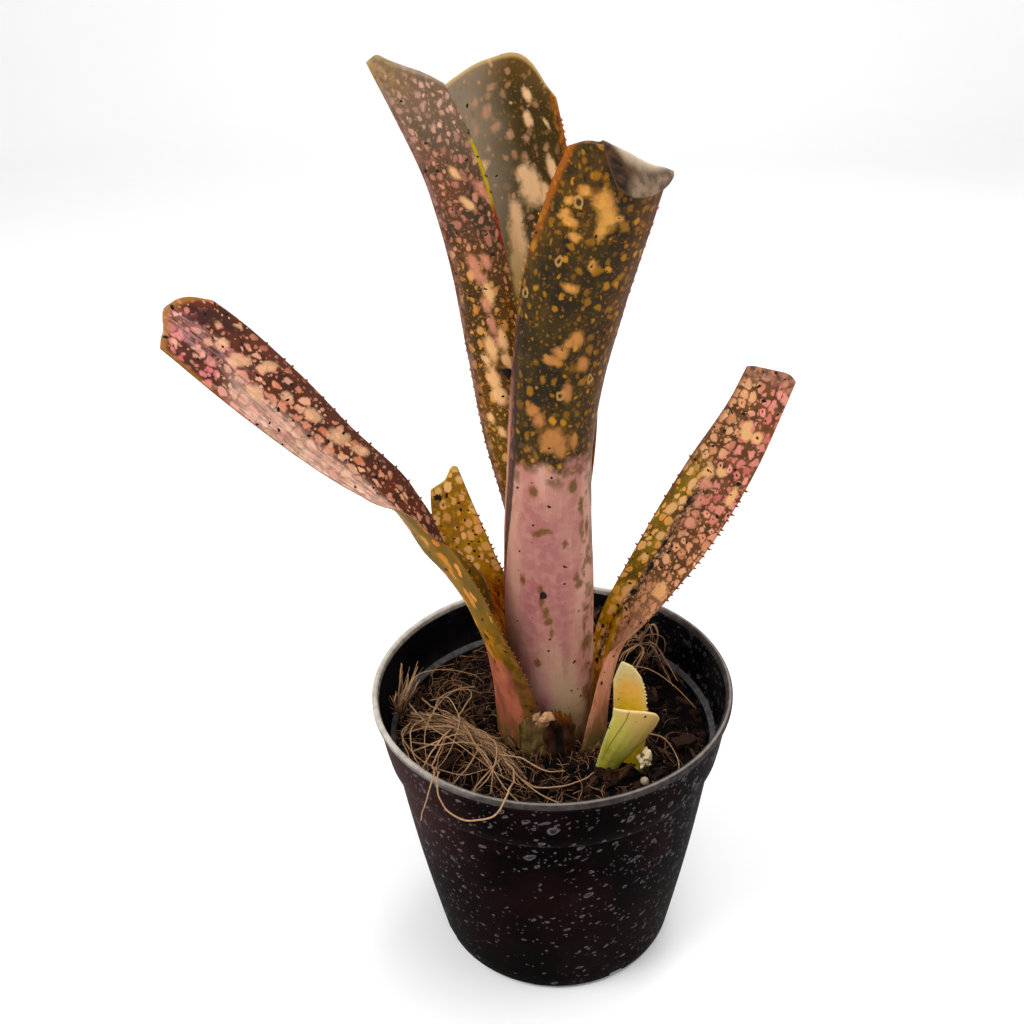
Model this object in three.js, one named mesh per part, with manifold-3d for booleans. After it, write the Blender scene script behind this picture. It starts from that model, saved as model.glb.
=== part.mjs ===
// Cold fusion billbergia in a 13 cm nursery pot. Lengths in mm, +Z up.
// Origin: centre of the pot's underside. The side seen in the photo faces -Y.
import * as THREE from "three";
import { ConvexGeometry } from "three/addons/geometries/ConvexGeometry.js";
import { mergeVertices } from "three/addons/utils/BufferGeometryUtils.js";
import ManifoldModule from "manifold-3d";

const wasm = await ManifoldModule();
wasm.setup();
const { Manifold, Mesh } = wasm;

// Pot
const POT_HEIGHT = 109.2;
const RIM_RADIUS = 65;
const RIM_LIP_HEIGHT = 2.2;
const BASE_RADIUS = 46;
const SHOULDER_RADIUS = 59.2;
const SHOULDER_Z = 86.8;
const WALL_BULGE = 0.9;
const WALL = 1.2;
const BASE_PLATE = 2;
const LEDGE_Z = 89.0;
const LEDGE_INNER_RADIUS = 58;
const LEDGE_OUTER_RADIUS = 60.1;
const UPPER_INNER_RADIUS = 62.9;
const POT_SEGMENTS = 48;
const DRAIN_HOLE_RADIUS = 4;
const DRAIN_HOLE_CIRCLE = 30;
const DRAIN_HOLES = 6;
const DRAIN_HOLE_DEPTH = 8;
const EDGE_NOTCHES = 4;
const EDGE_NOTCH_WIDTH = 6;
const EDGE_NOTCH_HEIGHT = 3;
const EDGE_NOTCH_START = -61;
const EDGE_NOTCH_DEPTH = 8;

// Soil
const GAP = 0.4;
const REST_GAP = 0.32;
const SOIL_GAP = 0.6;
const HOLE_GAP = 0.55;
const CROWN_GAP = 0.6;
const SOIL_LEVEL = 85.5;
const SOIL_SEGMENTS = 48;
// Rings of points on the top, as shares of the way from the hole to the edge
const SOIL_RINGS = [0, 0.1, 0.24, 0.4, 0.55, 0.7, 0.86, 1];
const SOIL_EDGE_INSET = 1.2;
const BRIM_WIDTH = 0.55;
const OVER_LEDGE_Z = 90.6;
const OVER_LEDGE_RISE = 4;
const OVER_LEDGE_WIDTH = 2.65;
const CROWN_RADIUS = 15.4;
const CROWN_TOP = 79.9;
const CROWN_BOTTOM = 70;
const CROWN_SHOULDER = 3;
const CROWN_TAPER = 0.8;

// A turned solid leaves a thin hole on the axis, which a round core closes
const AXIS_RADIUS = 0.01;
const CORE_RADIUS = 1;
const DRAIN_HOLE_SIDES = 16;
const STUB_SIDES = 8;
// How often an octahedron's faces are split to make a small ball, and the larger grain
const BALL_SPLITS = 1;
const GRAIN_SPLITS = 2;
const CORE_SIDES = 12;

// Leaf thickness at the base and at the tip
const LEAF_BASE_THICKNESS = 0.9;
const LEAF_TIP_THICKNESS = 0.7;
const LEAF_ROWS = 22;
// Where the body of a folded leaf ends and its folded-over end begins, and the rows of that end
const FOLD_SHARE = 0.72;
const FOLD_ROWS = [0.755, 0.79, 0.83, 0.88, 0.94, 1];
// Share of the half width in which a V-shaped leaf turns
const CREASE_SHARE = 0.2;
const SECTION_STEPS = 24;
const WIDE_COLUMNS = [-1, -0.75, -0.5, -0.28, -0.12, 0, 0.12, 0.28, 0.5, 0.75, 1];
const FOLDED_COLUMNS = [-1, -0.6, -0.28, -0.1, 0, 0.1, 0.28, 0.6, 1];
const NARROW_COLUMNS = [-1, -0.66, -0.33, 0, 0.33, 0.66, 1];
const SPINE_LENGTH = 1.5;
const SPINE_WIDTH = 1.7;
const SPINE_ROOT = 0.9;
const SPINE_THICKNESS = 0.44;
const SPINE_HOOK = 0.6;
const SPINE_REACH = 0.8;

// Each leaf: the way it faces with its outer side (degrees), then stations from base to tip:
// x, y, z of the midrib, width, twist, curl of the left and of the right half, fold (0 arc, 1 V).
// tip: how much shorter than the last station the blade ends, from its left to its right margin.
// spines: margin (-1 left, 1 right), from and to as shares of the length, spacing in mm.
const LEAVES = {
  leaf_front: {
    heading: 270,
    colour: 0x5a4a2a,
    columns: WIDE_COLUMNS,
    stations: [
      [0, -14, 80.3, 46, 0, 90, 96, 0],
      [0.5, -15.5, 115, 49.5, 0, 91, 98, 0],
      [0.5, -16, 149, 49.5, 0, 90, 98, 0],
      [1, -16.5, 180, 44.5, 0, 86, 96, 0],
      [2, -17, 204, 39, 0, 79, 90, 0],
      [4, -18.5, 223, 37, 0, 68, 80, 0],
      [8.5, -22.5, 250, 36.5, 0, 54, 66, 0],
      [13.5, -27, 270.5, 34.5, 0, 46, 58, 0],
      [17, -30, 282, 32.5, 0, 44, 55, 0],
      [21, -34.5, 294.5, 28.5, 0, 40, 50, 0],
    ],
    tip: [5, 1.5, 0, 0, 0.5, 1.5, 2.5, 3.5, 5],
    spines: [[-1, 0.62, 0.98, 5.5], [1, 0.6, 0.97, 8]],
    // the end folded over outward: how far it hangs, from left to right
    fold_over: { hang: [0.4, 0.4, 0.4, 6.5, 11, 12, 10.5, 7, 1.2], radius: 1.7, angle: 160 },
  },
  leaf_back: {
    heading: 90,
    colour: 0x4f4a30,
    columns: WIDE_COLUMNS,
    stations: [
      [-0.5, 12, 80.3, 37.5, 0, 84, 84, 0],
      [-0.5, 12.5, 96, 38, 0, 84, 84, 0],
      [-0.5, 13.5, 134, 39, 0, 88, 78, 0],
      [0.5, 14, 174, 36.5, 0, 80, 64, 0],
      [1.5, 16.5, 210, 37.5, 0, 62, 58, 0],
      [-2, 20, 237, 40, 0, 58, 58, 0],
      [-6, 23, 260, 43, 0, 56, 56, 0],
      [-11, 27, 286, 44, 0, 50, 50, 0],
      [-14, 30, 305, 41.5, 0, 44, 44, 0],
      [-13, 31.5, 316, 39.5, 0, 42, 42, 0],
    ],
    tip: [17, 6.5, 1.6, 0.5, 2, 4.2, 7.5, 10.5, 13],
    spines: [[-1, 0.7, 0.97, 4.5], [1, 0.6, 0.92, 9]],
  },
  leaf_inner: {
    heading: 262,
    colour: 0x6a4a38,
    columns: NARROW_COLUMNS,
    stations: [
      [-1, -0.5, 80.3, 19, 0, 50, 50, 0],
      [-0.5, -1, 122, 19.5, 0, 55, 55, 0],
      [-2.5, -1, 155, 20, 0, 52, 52, 0],
      [-6.5, -2, 181, 20, 0, 44, 46, 0],
      [-11.5, -2.5, 205, 19, 0, 36, 42, 0],
      [-15.5, -4.5, 236, 18, 0, 30, 34, 0],
      [-19.5, -7.5, 266, 17.5, 0, 26, 28, 0],
      [-24.5, -12, 289, 17.5, 0, 26, 26, 0],
      [-32.5, -15, 308.5, 16.5, 0, 22, 22, 0],
      [-37.5, -17, 319.5, 15.5, 0, 20, 20, 0],
    ],
    tip: [0.5, 0, 0, 2, 4, 6, 8, 10.5, 13.5],
    spines: [[-1, 0.44, 0.62, 4.5], [1, 0.66, 0.9, 10]],
  },
  leaf_left: {
    heading: 188,
    colour: 0x8a5a55,
    columns: FOLDED_COLUMNS,
    stations: [
      [-16, -10, 80.6, 33, 28, 50, 51, 0],
      [-18, -10, 110, 32, 22, 47, 53, 0],
      [-21, -11, 127, 30.5, 13, 44, 51, 0.1],
      [-24.5, -12, 141, 29.5, 2, 42, 52, 0.25],
      [-28.5, -13, 153, 27.5, -3, 38, 55, 0.4],
      [-34.5, -12.5, 162.5, 26, -5, 33, 57, 0.5],
      [-40.5, -10.5, 169, 24.5, -9, 36, 58, 0.5],
      [-45.5, -8, 177.5, 22.5, -18, 37, 54, 0.5],
      [-50.5, -6, 185, 20, -29, 32, 44, 0.5],
      [-57, -6, 193, 18.5, -42, 28, 33, 0.5],
      [-65, -7, 202, 18.5, -51, 23, 25, 0.5],
      [-81.5, -11, 223, 21.5, -58, 15, 17, 0.5],
      [-98, -14, 242.5, 22, -60, 12, 12, 0.5],
      [-109.5, -14.5, 253.5, 20.5, -60, 10, 10, 0.5],
    ],
    tip: [9, 4, 1.5, 0.5, 0, 1.5, 3.5, 4.5, 6],
    spines: [[1, 0.14, 0.4, 3.6], [-1, 0.4, 0.9, 11]],
  },
  leaf_right: {
    heading: 8,
    colour: 0x86604a,
    columns: FOLDED_COLUMNS,
    stations: [
      [19.5, -3.5, 82.9, 41.5, -6, 70, 56, 0],
      [20.5, -0.5, 100.5, 35, 0, 67, 54, 0],
      [22.5, 2, 112, 30, 5, 65, 50, 0.1],
      [25.5, 5.5, 120, 24.5, 15, 62, 44, 0.25],
      [30, 8.5, 132, 20.5, 40, 44, 40, 0.4],
      [36.5, 10, 145, 21, 57, 35, 37, 0.4],
      [42.5, 10.5, 157, 23, 67, 29, 35, 0.4],
      [48.5, 10.5, 169, 24, 71, 26, 33, 0.4],
      [55.5, 10.5, 182, 23, 70, 23, 28, 0.3],
      [62.5, 11.5, 194.5, 20.5, 66, 19, 21, 0.3],
      [68, 12.5, 205.5, 18, 64, 17, 18, 0.3],
      [74.5, 15.5, 220, 16.5, 63, 15, 15, 0.3],
    ],
    tip: [1.4, 0.2, 0, 0.3, 0.7, 1.1, 1.5, 1.9, 2.8],
    spines: [[-1, 0.4, 0.72, 5], [1, 0.45, 0.75, 8]],
  },
  leaf_short: {
    heading: 152,
    colour: 0x7a6030,
    columns: NARROW_COLUMNS,
    stations: [
      [-14, 9.5, 80.5, 14, -7, 24, 24, 0],
      [-14, 10, 96, 14.5, -8, 24, 24, 0],
      [-15, 12, 114, 15.5, -9, 26, 26, 0],
      [-20, 12, 133, 17, -22, 28, 28, 0],
      [-26.5, 9.5, 150.5, 18, -36, 28, 28, 0],
      [-30.5, 10, 163, 17.5, -44, 26, 26, 0],
      [-33, 11, 174, 15, -48, 24, 24, 0],
      [-35, 12.5, 189, 9, -48, 18, 18, 0],
    ],
    tip: [1, 0.5, 1, 2.5, 4.5, 5.5, 6, 6.5, 7],
    spines: [[-1, 0.55, 0.85, 6]],
    rows: 14,
  },
  pup_blade: {
    heading: 75,
    colour: 0xe0c870,
    columns: NARROW_COLUMNS,
    stations: [
      [26.2, -20.4, 83, 11.5, 0, 30, 30, 0],
      [27, -19.8, 98, 12.4, 0, 30, 30, 0],
      [27.4, -19.1, 110, 12.2, 0, 30, 30, 0],
      [26.8, -18.7, 119, 11.2, 0, 28, 28, 0],
      [25.2, -18.4, 129, 8.8, 0, 24, 24, 0],
    ],
    tip: [6, 3.4, 1.9, 1, 0.4, 0, 1.6, 4, 7],
    spines: [[-1, 0.6, 0.92, 3.6]],
    rows: 10,
  },
  pup_outer_leaf: {
    heading: 272,
    colour: 0xc8c060,
    columns: NARROW_COLUMNS,
    stations: [
      [17.4, -26.9, 83, 8, 0, 34, 30, 0],
      [19.4, -27.1, 91.3, 8.6, 0, 34, 28, 0],
      [22.8, -27.3, 98.8, 12, 0, 32, 26, 0],
      [26.2, -27.3, 105.5, 14.8, 0, 30, 24, 0],
      [28.4, -27.2, 110.5, 16.4, 0, 28, 22, 0],
      [29.3, -27.1, 115.2, 17.4, 0, 26, 20, 0],
    ],
    tip: [1.2, 1, 0.7, 0.4, 0.2, 0.2, 0.5, 1.4, 3.4],
    spines: [],
    rows: 9,
  },
  pup_husk: {
    heading: 272,
    colour: 0x7a5a38,
    columns: NARROW_COLUMNS,
    stations: [
      [20.6, -29.9, 83, 13.5, 0, 34, 30, 0],
      [21.2, -30.2, 90, 14, 0, 34, 30, 0],
      [22.4, -30.4, 97, 14, 0, 32, 28, 0],
    ],
    tip: [9, 8, 7.6, 6.4, 6, 5, 3.4, 1.6, 2.6],
    spines: [],
    rows: 6,
  },
  old_sheath: {
    heading: 268,
    colour: 0x5c5638,
    columns: NARROW_COLUMNS,
    stations: [
      [-2.2, -21.2, 80.4, 19.6, 0, 30, 28, 0],
      [-2.2, -21.3, 96, 19.6, 0, 30, 28, 0],
      [-2.2, -21.5, 112, 19, 0, 29, 27, 0],
    ],
    tip: [9, 5.5, 3.2, 2.2, 3.4, 5.4, 8, 11.5, 15],
    spines: [],
    rows: 7,
  },
};

// Curled dry bract in front of the leaf bases
const BRACT = {
  heading: 264,
  colour: 0x6e4526,
  columns: NARROW_COLUMNS,
  stations: [
    [3, -24.8, 80.5, 10, 6, 34, 38, 0],
    [3.1, -25.2, 92, 12, 4, 40, 56, 0],
    [2.8, -25.5, 103, 12.4, -4, 42, 78, 0],
    [1.9, -25.8, 115.4, 9.5, -10, 40, 100, 0],
  ],
  tip: [3.5, 1.8, 0.6, 0, 0.4, 1, 2.2, 3, 4.2],
  spines: [],
  rows: 9,
};
const BRACT_CRUMB = [-3.7, -25.3, 110.4, 2.6];

// Coir fibres: points along each one, radius at the root and at the end
const FIBRE_ROOT_RADIUS = 0.62;
const FIBRE_END_RADIUS = 0.4;
const WAD = [
  [-54.5, -2, 93, 2.4],
  [-45, -4.5, 94.5, 3],
  [-36, -8, 95.2, 3.6],
  [-26, -15.8, 94.8, 3.4],
  [-17.6, -23.6, 93.8, 2.8],
  [-10, -35.4, 92.6, 1.8],
];
const WAD_FIBRES = [
  [[-17.6, -23.6, 94], [-13.6, -34, 97], [-12.6, -46, 103], [-13.4, -56, 110.8], [-14.2, -62.3, 112.6],
    [-16.2, -65.8, 110.6], [-19.2, -66, 107.4], [-24, -64.4, 104.6], [-29, -62.3, 103],
    [-33, -60.4, 104.2], [-36, -58.4, 108], [-36.6, -55.6, 111.6], [-36.6, -50.5, 111.4],
    [-38.2, -42.5, 104], [-39.6, -30, 98.5], [-37, -10, 95.5]],
  [[-37, -10, 95.5], [-40.6, -33, 100.5], [-38.6, -47, 109.6], [-37.9, -52.4, 112.2],
    [-38.8, -56, 110.6], [-40.6, -55.6, 104.5], [-42.6, -53.6, 98], [-43.6, -52.8, 93]],
  [[-50, 13, 91.5], [-45, 3, 95.5], [-37, -5, 98], [-27, -15, 96]],
  [[-56, -12, 92.5], [-50, -14, 98], [-38, -12, 98], [-26, -16, 96]],
  [[-50, -22, 95], [-43, -22, 98.5], [-34, -15, 97], [-28, -14.5, 95.5]],
  [[-36, -9, 95.5], [-40, -22, 99], [-45, -33, 97], [-44, -32, 92]],
  [[-26, -17, 95], [-28, -30, 97.5], [-35, -39, 95], [-39, -36, 91.5]],
  [[-17.6, -24, 94], [-24, -38, 97], [-30, -46, 92.5]],
  [[-11, -34, 93], [-4, -41, 95.6], [8, -38, 95], [14, -31, 92.8]],
  [[-19, -23, 94.5], [-11, -29, 98], [-3, -34, 97], [4, -32, 94.6]],
  [[-45, -4.5, 95], [-41, 6, 98], [-33, 12, 96], [-27, 17, 90.5]],
  [[-36, -8, 95.5], [-31, 0, 99.5], [-30, 9, 96], [-33, 20, 90.5]],
  [[-30, -13, 96], [-27, -24, 101], [-21, -33, 98], [-21, -41, 93]],
  [[-52, -3, 93.5], [-54, -15, 97], [-49, -28, 96], [-40, -40, 93]],
];
const TUFT = [-57, 3, 92, 1.6];
const TUFT_FIBRES = [
  [[-57, 2.6, 91.6], [-56.6, 0, 102], [-54, -5, 115], [-52.6, -8, 124]],
  [[-57, 2.8, 91.6], [-55, -4, 104], [-51, -10, 116], [-49.6, -14, 123.6]],
  [[-56.6, 3, 91.6], [-53.6, -3, 102], [-49, -10, 113], [-46.4, -15.4, 121]],
  [[-57, 3, 91.8], [-56.8, -6, 103], [-55.4, -14, 112], [-53.6, -19, 119]],
  [[-57, 3.2, 91.6], [-54.6, 10, 98], [-51, 17, 104]],
];
const BACK_ROOT = [36.6, 40.6, 95.5, 1.7];
const BACK_FIBRES = [
  [[36.6, 40.6, 95.5], [38.8, 40, 102], [41.2, 38.2, 106.6], [43, 36.6, 103.5], [42.2, 36.6, 97.5],
    [39.2, 36, 92.8]],
  [[36.6, 40.6, 95.5], [33.4, 37, 96.5], [29.6, 35.6, 95], [27.4, 33.4, 92.4]],
  [[36.6, 40.6, 95.5], [41.6, 37, 98], [46, 30.6, 94], [49.6, 23, 90]],
  [[36.6, 40.4, 95.4], [37, 33, 97], [34, 27.6, 94], [32, 22, 91]],
];

// Bits lying on the soil: x, y, length, width, height, turn
const CHIPS = {
  bark_strip: [-38.5, -26, 15, 4, 2.2, 52],
  bark_chip_right: [48, -8, 8, 6, 2.6, 20],
  bark_chip_back: [38, 14, 6.5, 5, 2.4, -35],
  bark_chip_front: [-9.5, -44.5, 9, 5.5, 2.6, 28],
};
const CHIP_CORNERS = [
  [-0.5, -0.3, 0], [-0.42, 0.5, 0], [0.5, 0.36, 0], [0.44, -0.5, 0],
  [-0.44, -0.2, 0.8], [-0.36, 0.4, 1], [0.42, 0.3, 0.86], [0.38, -0.4, 1],
];
// x, y, radius
const PELLET = [31.6, -31.2, 1.5];
const STUB_GAP = 1;
// x, y, radius at the foot and at the top, height
const PUP_STUB = [32, -25.5, 2.3, 1.3, 9];

const RAD = Math.PI / 180;

// Height of the potting mix
function soilTop(x, y) {
  const hump = (cx, cy, sx, sy, h) =>
    h * Math.exp(-((x - cx) ** 2) / (2 * sx * sx) - ((y - cy) ** 2) / (2 * sy * sy));
  let z = SOIL_LEVEL;
  z += hump(2, -27, 13, 9, 6.5);
  z += hump(24, 54, 16, 12, 17);
  z += hump(-34, -20, 15, 15, 3);
  z += hump(-28, 30, 20, 16, 1.5);
  z -= hump(48, -10, 12, 18, 2.5);
  z += 0.5 * Math.sin(x * 0.31 + 1.3) * Math.cos(y * 0.27 - 0.6);
  return z;
}

// Cubic through the stations, with slopes from their neighbours
function stationCurve(rows) {
  const at = [0];
  for (let i = 1; i < rows.length; i++) {
    const [a, b] = [rows[i - 1], rows[i]];
    at.push(at[i - 1] + Math.hypot(b[0] - a[0], b[1] - a[1], b[2] - a[2]));
  }
  const last = rows.length - 1;
  const slope = rows.map((row, i) => row.map((value, k) => {
    const i0 = Math.max(i - 1, 0);
    const i1 = Math.min(i + 1, last);
    if (i === 0 || i === last) return (rows[i1][k] - rows[i0][k]) / (at[i1] - at[i0]);
    const h0 = at[i] - at[i0];
    const h1 = at[i1] - at[i];
    const before = (value - rows[i0][k]) / h0;
    const after = (rows[i1][k] - value) / h1;
    return (before * h1 + after * h0) / (h0 + h1);
  }));
  const sample = (s) => {
    let i = 0;
    while (i < last - 1 && s > at[i + 1]) i++;
    const h = at[i + 1] - at[i];
    const t = (s - at[i]) / h;
    const value = [];
    const slopeAt = [];
    for (let k = 0; k < rows[0].length; k++) {
      const [p0, p1] = [rows[i][k], rows[i + 1][k]];
      const [m0, m1] = [slope[i][k] * h, slope[i + 1][k] * h];
      value.push((2 * t ** 3 - 3 * t * t + 1) * p0 + (t ** 3 - 2 * t * t + t) * m0
        + (3 * t * t - 2 * t ** 3) * p1 + (t ** 3 - t * t) * m1);
      slopeAt.push(((6 * t * t - 6 * t) * p0 + (3 * t * t - 4 * t + 1) * m0
        + (6 * t - 6 * t * t) * p1 + (3 * t * t - 2 * t) * m1) / h);
    }
    return { value, slopeAt };
  };
  return { length: at[last], sample };
}

// Cross-section at u: across, inward and turn, for a half width of 1
function section(u, curlLeft, curlRight, fold) {
  const curl = (u >= 0 ? curlRight : curlLeft) * RAD;
  const side = u >= 0 ? 1 : -1;
  const m = Math.abs(u);
  let across = 0;
  let inward = 0;
  for (let i = 0; i < SECTION_STEPS; i++) {
    const q = ((i + 0.5) / SECTION_STEPS) * m;
    const turn = curl * ((1 - fold) * q + fold * Math.min(1, q / CREASE_SHARE));
    across += Math.cos(turn) / SECTION_STEPS;
    inward += Math.sin(turn) / SECTION_STEPS;
  }
  const turn = side * curl * ((1 - fold) * m + fold * Math.min(1, m / CREASE_SHARE));
  return [side * across * m, inward * m, turn];
}

function nine(table, u) {
  const at = (u + 1) * 4;
  const i = Math.min(Math.floor(at), 7);
  return table[i] + (table[i + 1] - table[i]) * (at - i);
}

const add = (a, b, k = 1) => [a[0] + b[0] * k, a[1] + b[1] * k, a[2] + b[2] * k];
const dot = (a, b) => a[0] * b[0] + a[1] * b[1] + a[2] * b[2];
const cross = (a, b) => [a[1] * b[2] - a[2] * b[1], a[2] * b[0] - a[0] * b[2], a[0] * b[1] - a[1] * b[0]];
const unit = (a) => {
  const n = Math.hypot(...a);
  return [a[0] / n, a[1] / n, a[2] / n];
};

// Middle surface of a leaf: v runs from base to tip, u from the left to the right margin
function leafSurface(leaf) {
  const curve = stationCurve(leaf.stations);
  const heading = [Math.cos(leaf.heading * RAD), Math.sin(leaf.heading * RAD), 0];
  const foldShare = leaf.fold_over ? FOLD_SHARE : 1;
  return (u, v) => {
    const body = Math.min(v / foldShare, 1);
    const short = nine(leaf.tip, u);
    const s = body * (curve.length - short * body ** 3);
    const { value, slopeAt } = curve.sample(s);
    const along = unit(slopeAt.slice(0, 3));
    const facing = unit(add(heading, along, -dot(along, heading)));
    const side = cross(along, facing);
    const twist = value[4] * RAD;
    const out = add(facing.map((c) => c * Math.cos(twist)), side, Math.sin(twist));
    const across = cross(along, out);
    const [sx, sn, turn] = section(u, value[5], value[6], value[7]);
    const half = value[3] / 2;
    let point = add(add(value.slice(0, 3), across, half * sx), out, -half * sn);
    let normal = add(out.map((c) => c * Math.cos(turn)), across, Math.sin(turn));
    if (v > foldShare) {
      const { hang, radius, angle } = leaf.fold_over;
      const q = ((v - foldShare) / (1 - foldShare)) * nine(hang, u);
      const bend = Math.min(q / radius, angle * RAD);
      const rest = q - bend * radius;
      const n = normal;
      point = add(add(point, along, radius * Math.sin(bend)), n, radius * (1 - Math.cos(bend)));
      point = add(add(point, along, rest * Math.cos(bend)), n, rest * Math.sin(bend));
      normal = add(n.map((c) => c * Math.cos(bend)), along, -Math.sin(bend));
    }
    return { point, normal, along, s };
  };
}

// A closed three.js geometry with shared vertices as a solid that can be joined and cut
function solidOf(geometry) {
  const vertProperties = geometry.getAttribute("position").array;
  const triVerts = new Uint32Array(geometry.index.array);
  return new Manifold(new Mesh({ numProp: 3, vertProperties, triVerts }));
}

// The same for a three.js form whose vertices aren't shared yet
function formSolid(form) {
  form.deleteAttribute("normal");
  form.deleteAttribute("uv");
  return solidOf(mergeVertices(form));
}

function solidFrom(points, faces) {
  const geometry = new THREE.BufferGeometry();
  geometry.setAttribute("position", new THREE.Float32BufferAttribute(points.flat(), 3));
  geometry.setIndex(faces.flat());
  return solidOf(geometry);
}

// A round bar or cone upright on the axis, from its foot up
function upright(height, footRadius, topRadius, sides) {
  const form = new THREE.CylinderGeometry(topRadius, footRadius, height, sides);
  form.rotateX(Math.PI / 2);
  form.translate(0, 0, height / 2);
  return formSolid(form);
}

// A closed plate of the leaf's thickness round its middle surface, with its margin spines
function leafSolid(leaf) {
  const surface = leafSurface(leaf);
  const plainRows = leaf.rows ?? LEAF_ROWS;
  const at = [];
  const body = leaf.fold_over ? FOLD_SHARE : 1;
  for (let i = 0; i <= plainRows; i++) at.push((i / plainRows) * body);
  if (leaf.fold_over) at.push(...FOLD_ROWS);
  const columns = leaf.columns;
  const rows = at.length;
  const n = columns.length;
  const outer = [];
  const inner = [];
  for (const v of at) {
    const half = (LEAF_BASE_THICKNESS + (LEAF_TIP_THICKNESS - LEAF_BASE_THICKNESS) * v) / 2;
    for (const u of columns) {
      const { point, normal } = surface(u, v);
      outer.push(add(point, normal, half));
      inner.push(add(point, normal, -half));
    }
  }
  const points = [...outer, ...inner];
  const k = outer.length;
  const faces = [];
  const quad = (a, b, c, d) => faces.push([a, b, c], [a, c, d]);
  for (let i = 0; i < rows - 1; i++) {
    for (let j = 0; j < n - 1; j++) {
      const a = i * n + j;
      quad(a, a + 1, a + n + 1, a + n);
      quad(k + a, k + a + n, k + a + n + 1, k + a + 1);
    }
    const left = i * n;
    quad(k + left, left, left + n, k + left + n);
    const right = i * n + n - 1;
    quad(right, k + right, k + right + n, right + n);
  }
  for (let j = 0; j < n - 1; j++) {
    quad(k + j, k + j + 1, j + 1, j);
    const top = (rows - 1) * n + j;
    quad(top, top + 1, k + top + 1, k + top);
  }
  let solid = solidFrom(points, faces);
  const length = stationCurve(leaf.stations).length;
  for (const [side, from, to, spacing] of leaf.spines) {
    const count = Math.max(2, Math.round(((to - from) * length) / spacing));
    for (let i = 0; i < count; i++) {
      const v = (from + ((to - from) * i) / (count - 1)) * body;
      const { point, normal, along } = surface(side, v);
      const outward = unit(add(point, surface(side * 0.9, v).point, -1));
      const root = add(point, outward, -SPINE_ROOT);
      const corners = [
        add(root, along, SPINE_WIDTH / 2),
        add(add(root, along, -SPINE_WIDTH / 2), normal, SPINE_THICKNESS / 2),
        add(add(root, along, -SPINE_WIDTH / 2), normal, -SPINE_THICKNESS / 2),
        add(add(point, outward, SPINE_LENGTH * SPINE_REACH), along, SPINE_LENGTH * SPINE_HOOK),
      ];
      let spine = solidFrom(corners, [[0, 1, 2], [0, 3, 1], [1, 3, 2], [2, 3, 0]]);
      if (spine.volume() < 0) spine = solidFrom(corners, [[0, 2, 1], [0, 1, 3], [1, 2, 3], [2, 0, 3]]);
      solid = solid.add(spine);
    }
  }
  return solid;
}

// A round rod through points, with few sides, thinning to its end
function rod(points, startRadius, endRadius, sides = 4, steps = 2) {
  const curve = new THREE.CatmullRomCurve3(points.map((p) => new THREE.Vector3(...p)), false, "centripetal");
  const count = (points.length - 1) * steps;
  const rings = [];
  let lift = new THREE.Vector3(0.31, 0.2, 0.93).normalize();
  for (let i = 0; i <= count; i++) {
    const t = i / count;
    const centre = curve.getPoint(t);
    const along = curve.getTangent(t);
    lift = lift.clone().addScaledVector(along, -lift.dot(along)).normalize();
    const side = along.clone().cross(lift);
    const radius = startRadius + (endRadius - startRadius) * t;
    for (let j = 0; j < sides; j++) {
      const a = (j / sides) * 2 * Math.PI;
      const p = centre.clone();
      p.addScaledVector(lift, Math.cos(a) * radius).addScaledVector(side, Math.sin(a) * radius);
      rings.push([p.x, p.y, p.z]);
    }
  }
  const faces = [];
  for (let i = 0; i < count; i++) {
    for (let j = 0; j < sides; j++) {
      const a = i * sides + j;
      const b = i * sides + ((j + 1) % sides);
      faces.push([a, a + sides, b + sides], [a, b + sides, b]);
    }
  }
  for (let j = 1; j < sides - 1; j++) {
    faces.push([0, j, j + 1]);
    const e = count * sides;
    faces.push([e, e + j + 1, e + j]);
  }
  let solid = solidFrom(rings, faces);
  if (solid.volume() < 0) solid = solidFrom(rings, faces.map(([a, b, c]) => [a, c, b]));
  return solid;
}

function ball([x, y, z, r], splits = BALL_SPLITS) {
  const form = new THREE.OctahedronGeometry(r, splits);
  form.translate(x, y, z);
  return formSolid(form);
}

// Lumps along a line joined by tapering rods
function wadSolid(lumps) {
  let solid = ball(lumps[0]);
  for (let i = 1; i < lumps.length; i++) {
    const [a, b] = [lumps[i - 1], lumps[i]];
    solid = solid.add(ball(b));
    solid = solid.add(rod([a.slice(0, 3), b.slice(0, 3)], a[3] * 0.8, b[3] * 0.8, 6, 1));
  }
  return solid;
}

function core(from, to) {
  return upright(to - from, CORE_RADIUS, CORE_RADIUS, CORE_SIDES).translate([0, 0, from]);
}

// Outer radius of the wall below the shoulder
function potOuter(z) {
  const share = z / SHOULDER_Z;
  return BASE_RADIUS + (SHOULDER_RADIUS - BASE_RADIUS) * share + WALL_BULGE * Math.sin(Math.PI * share);
}

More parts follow.
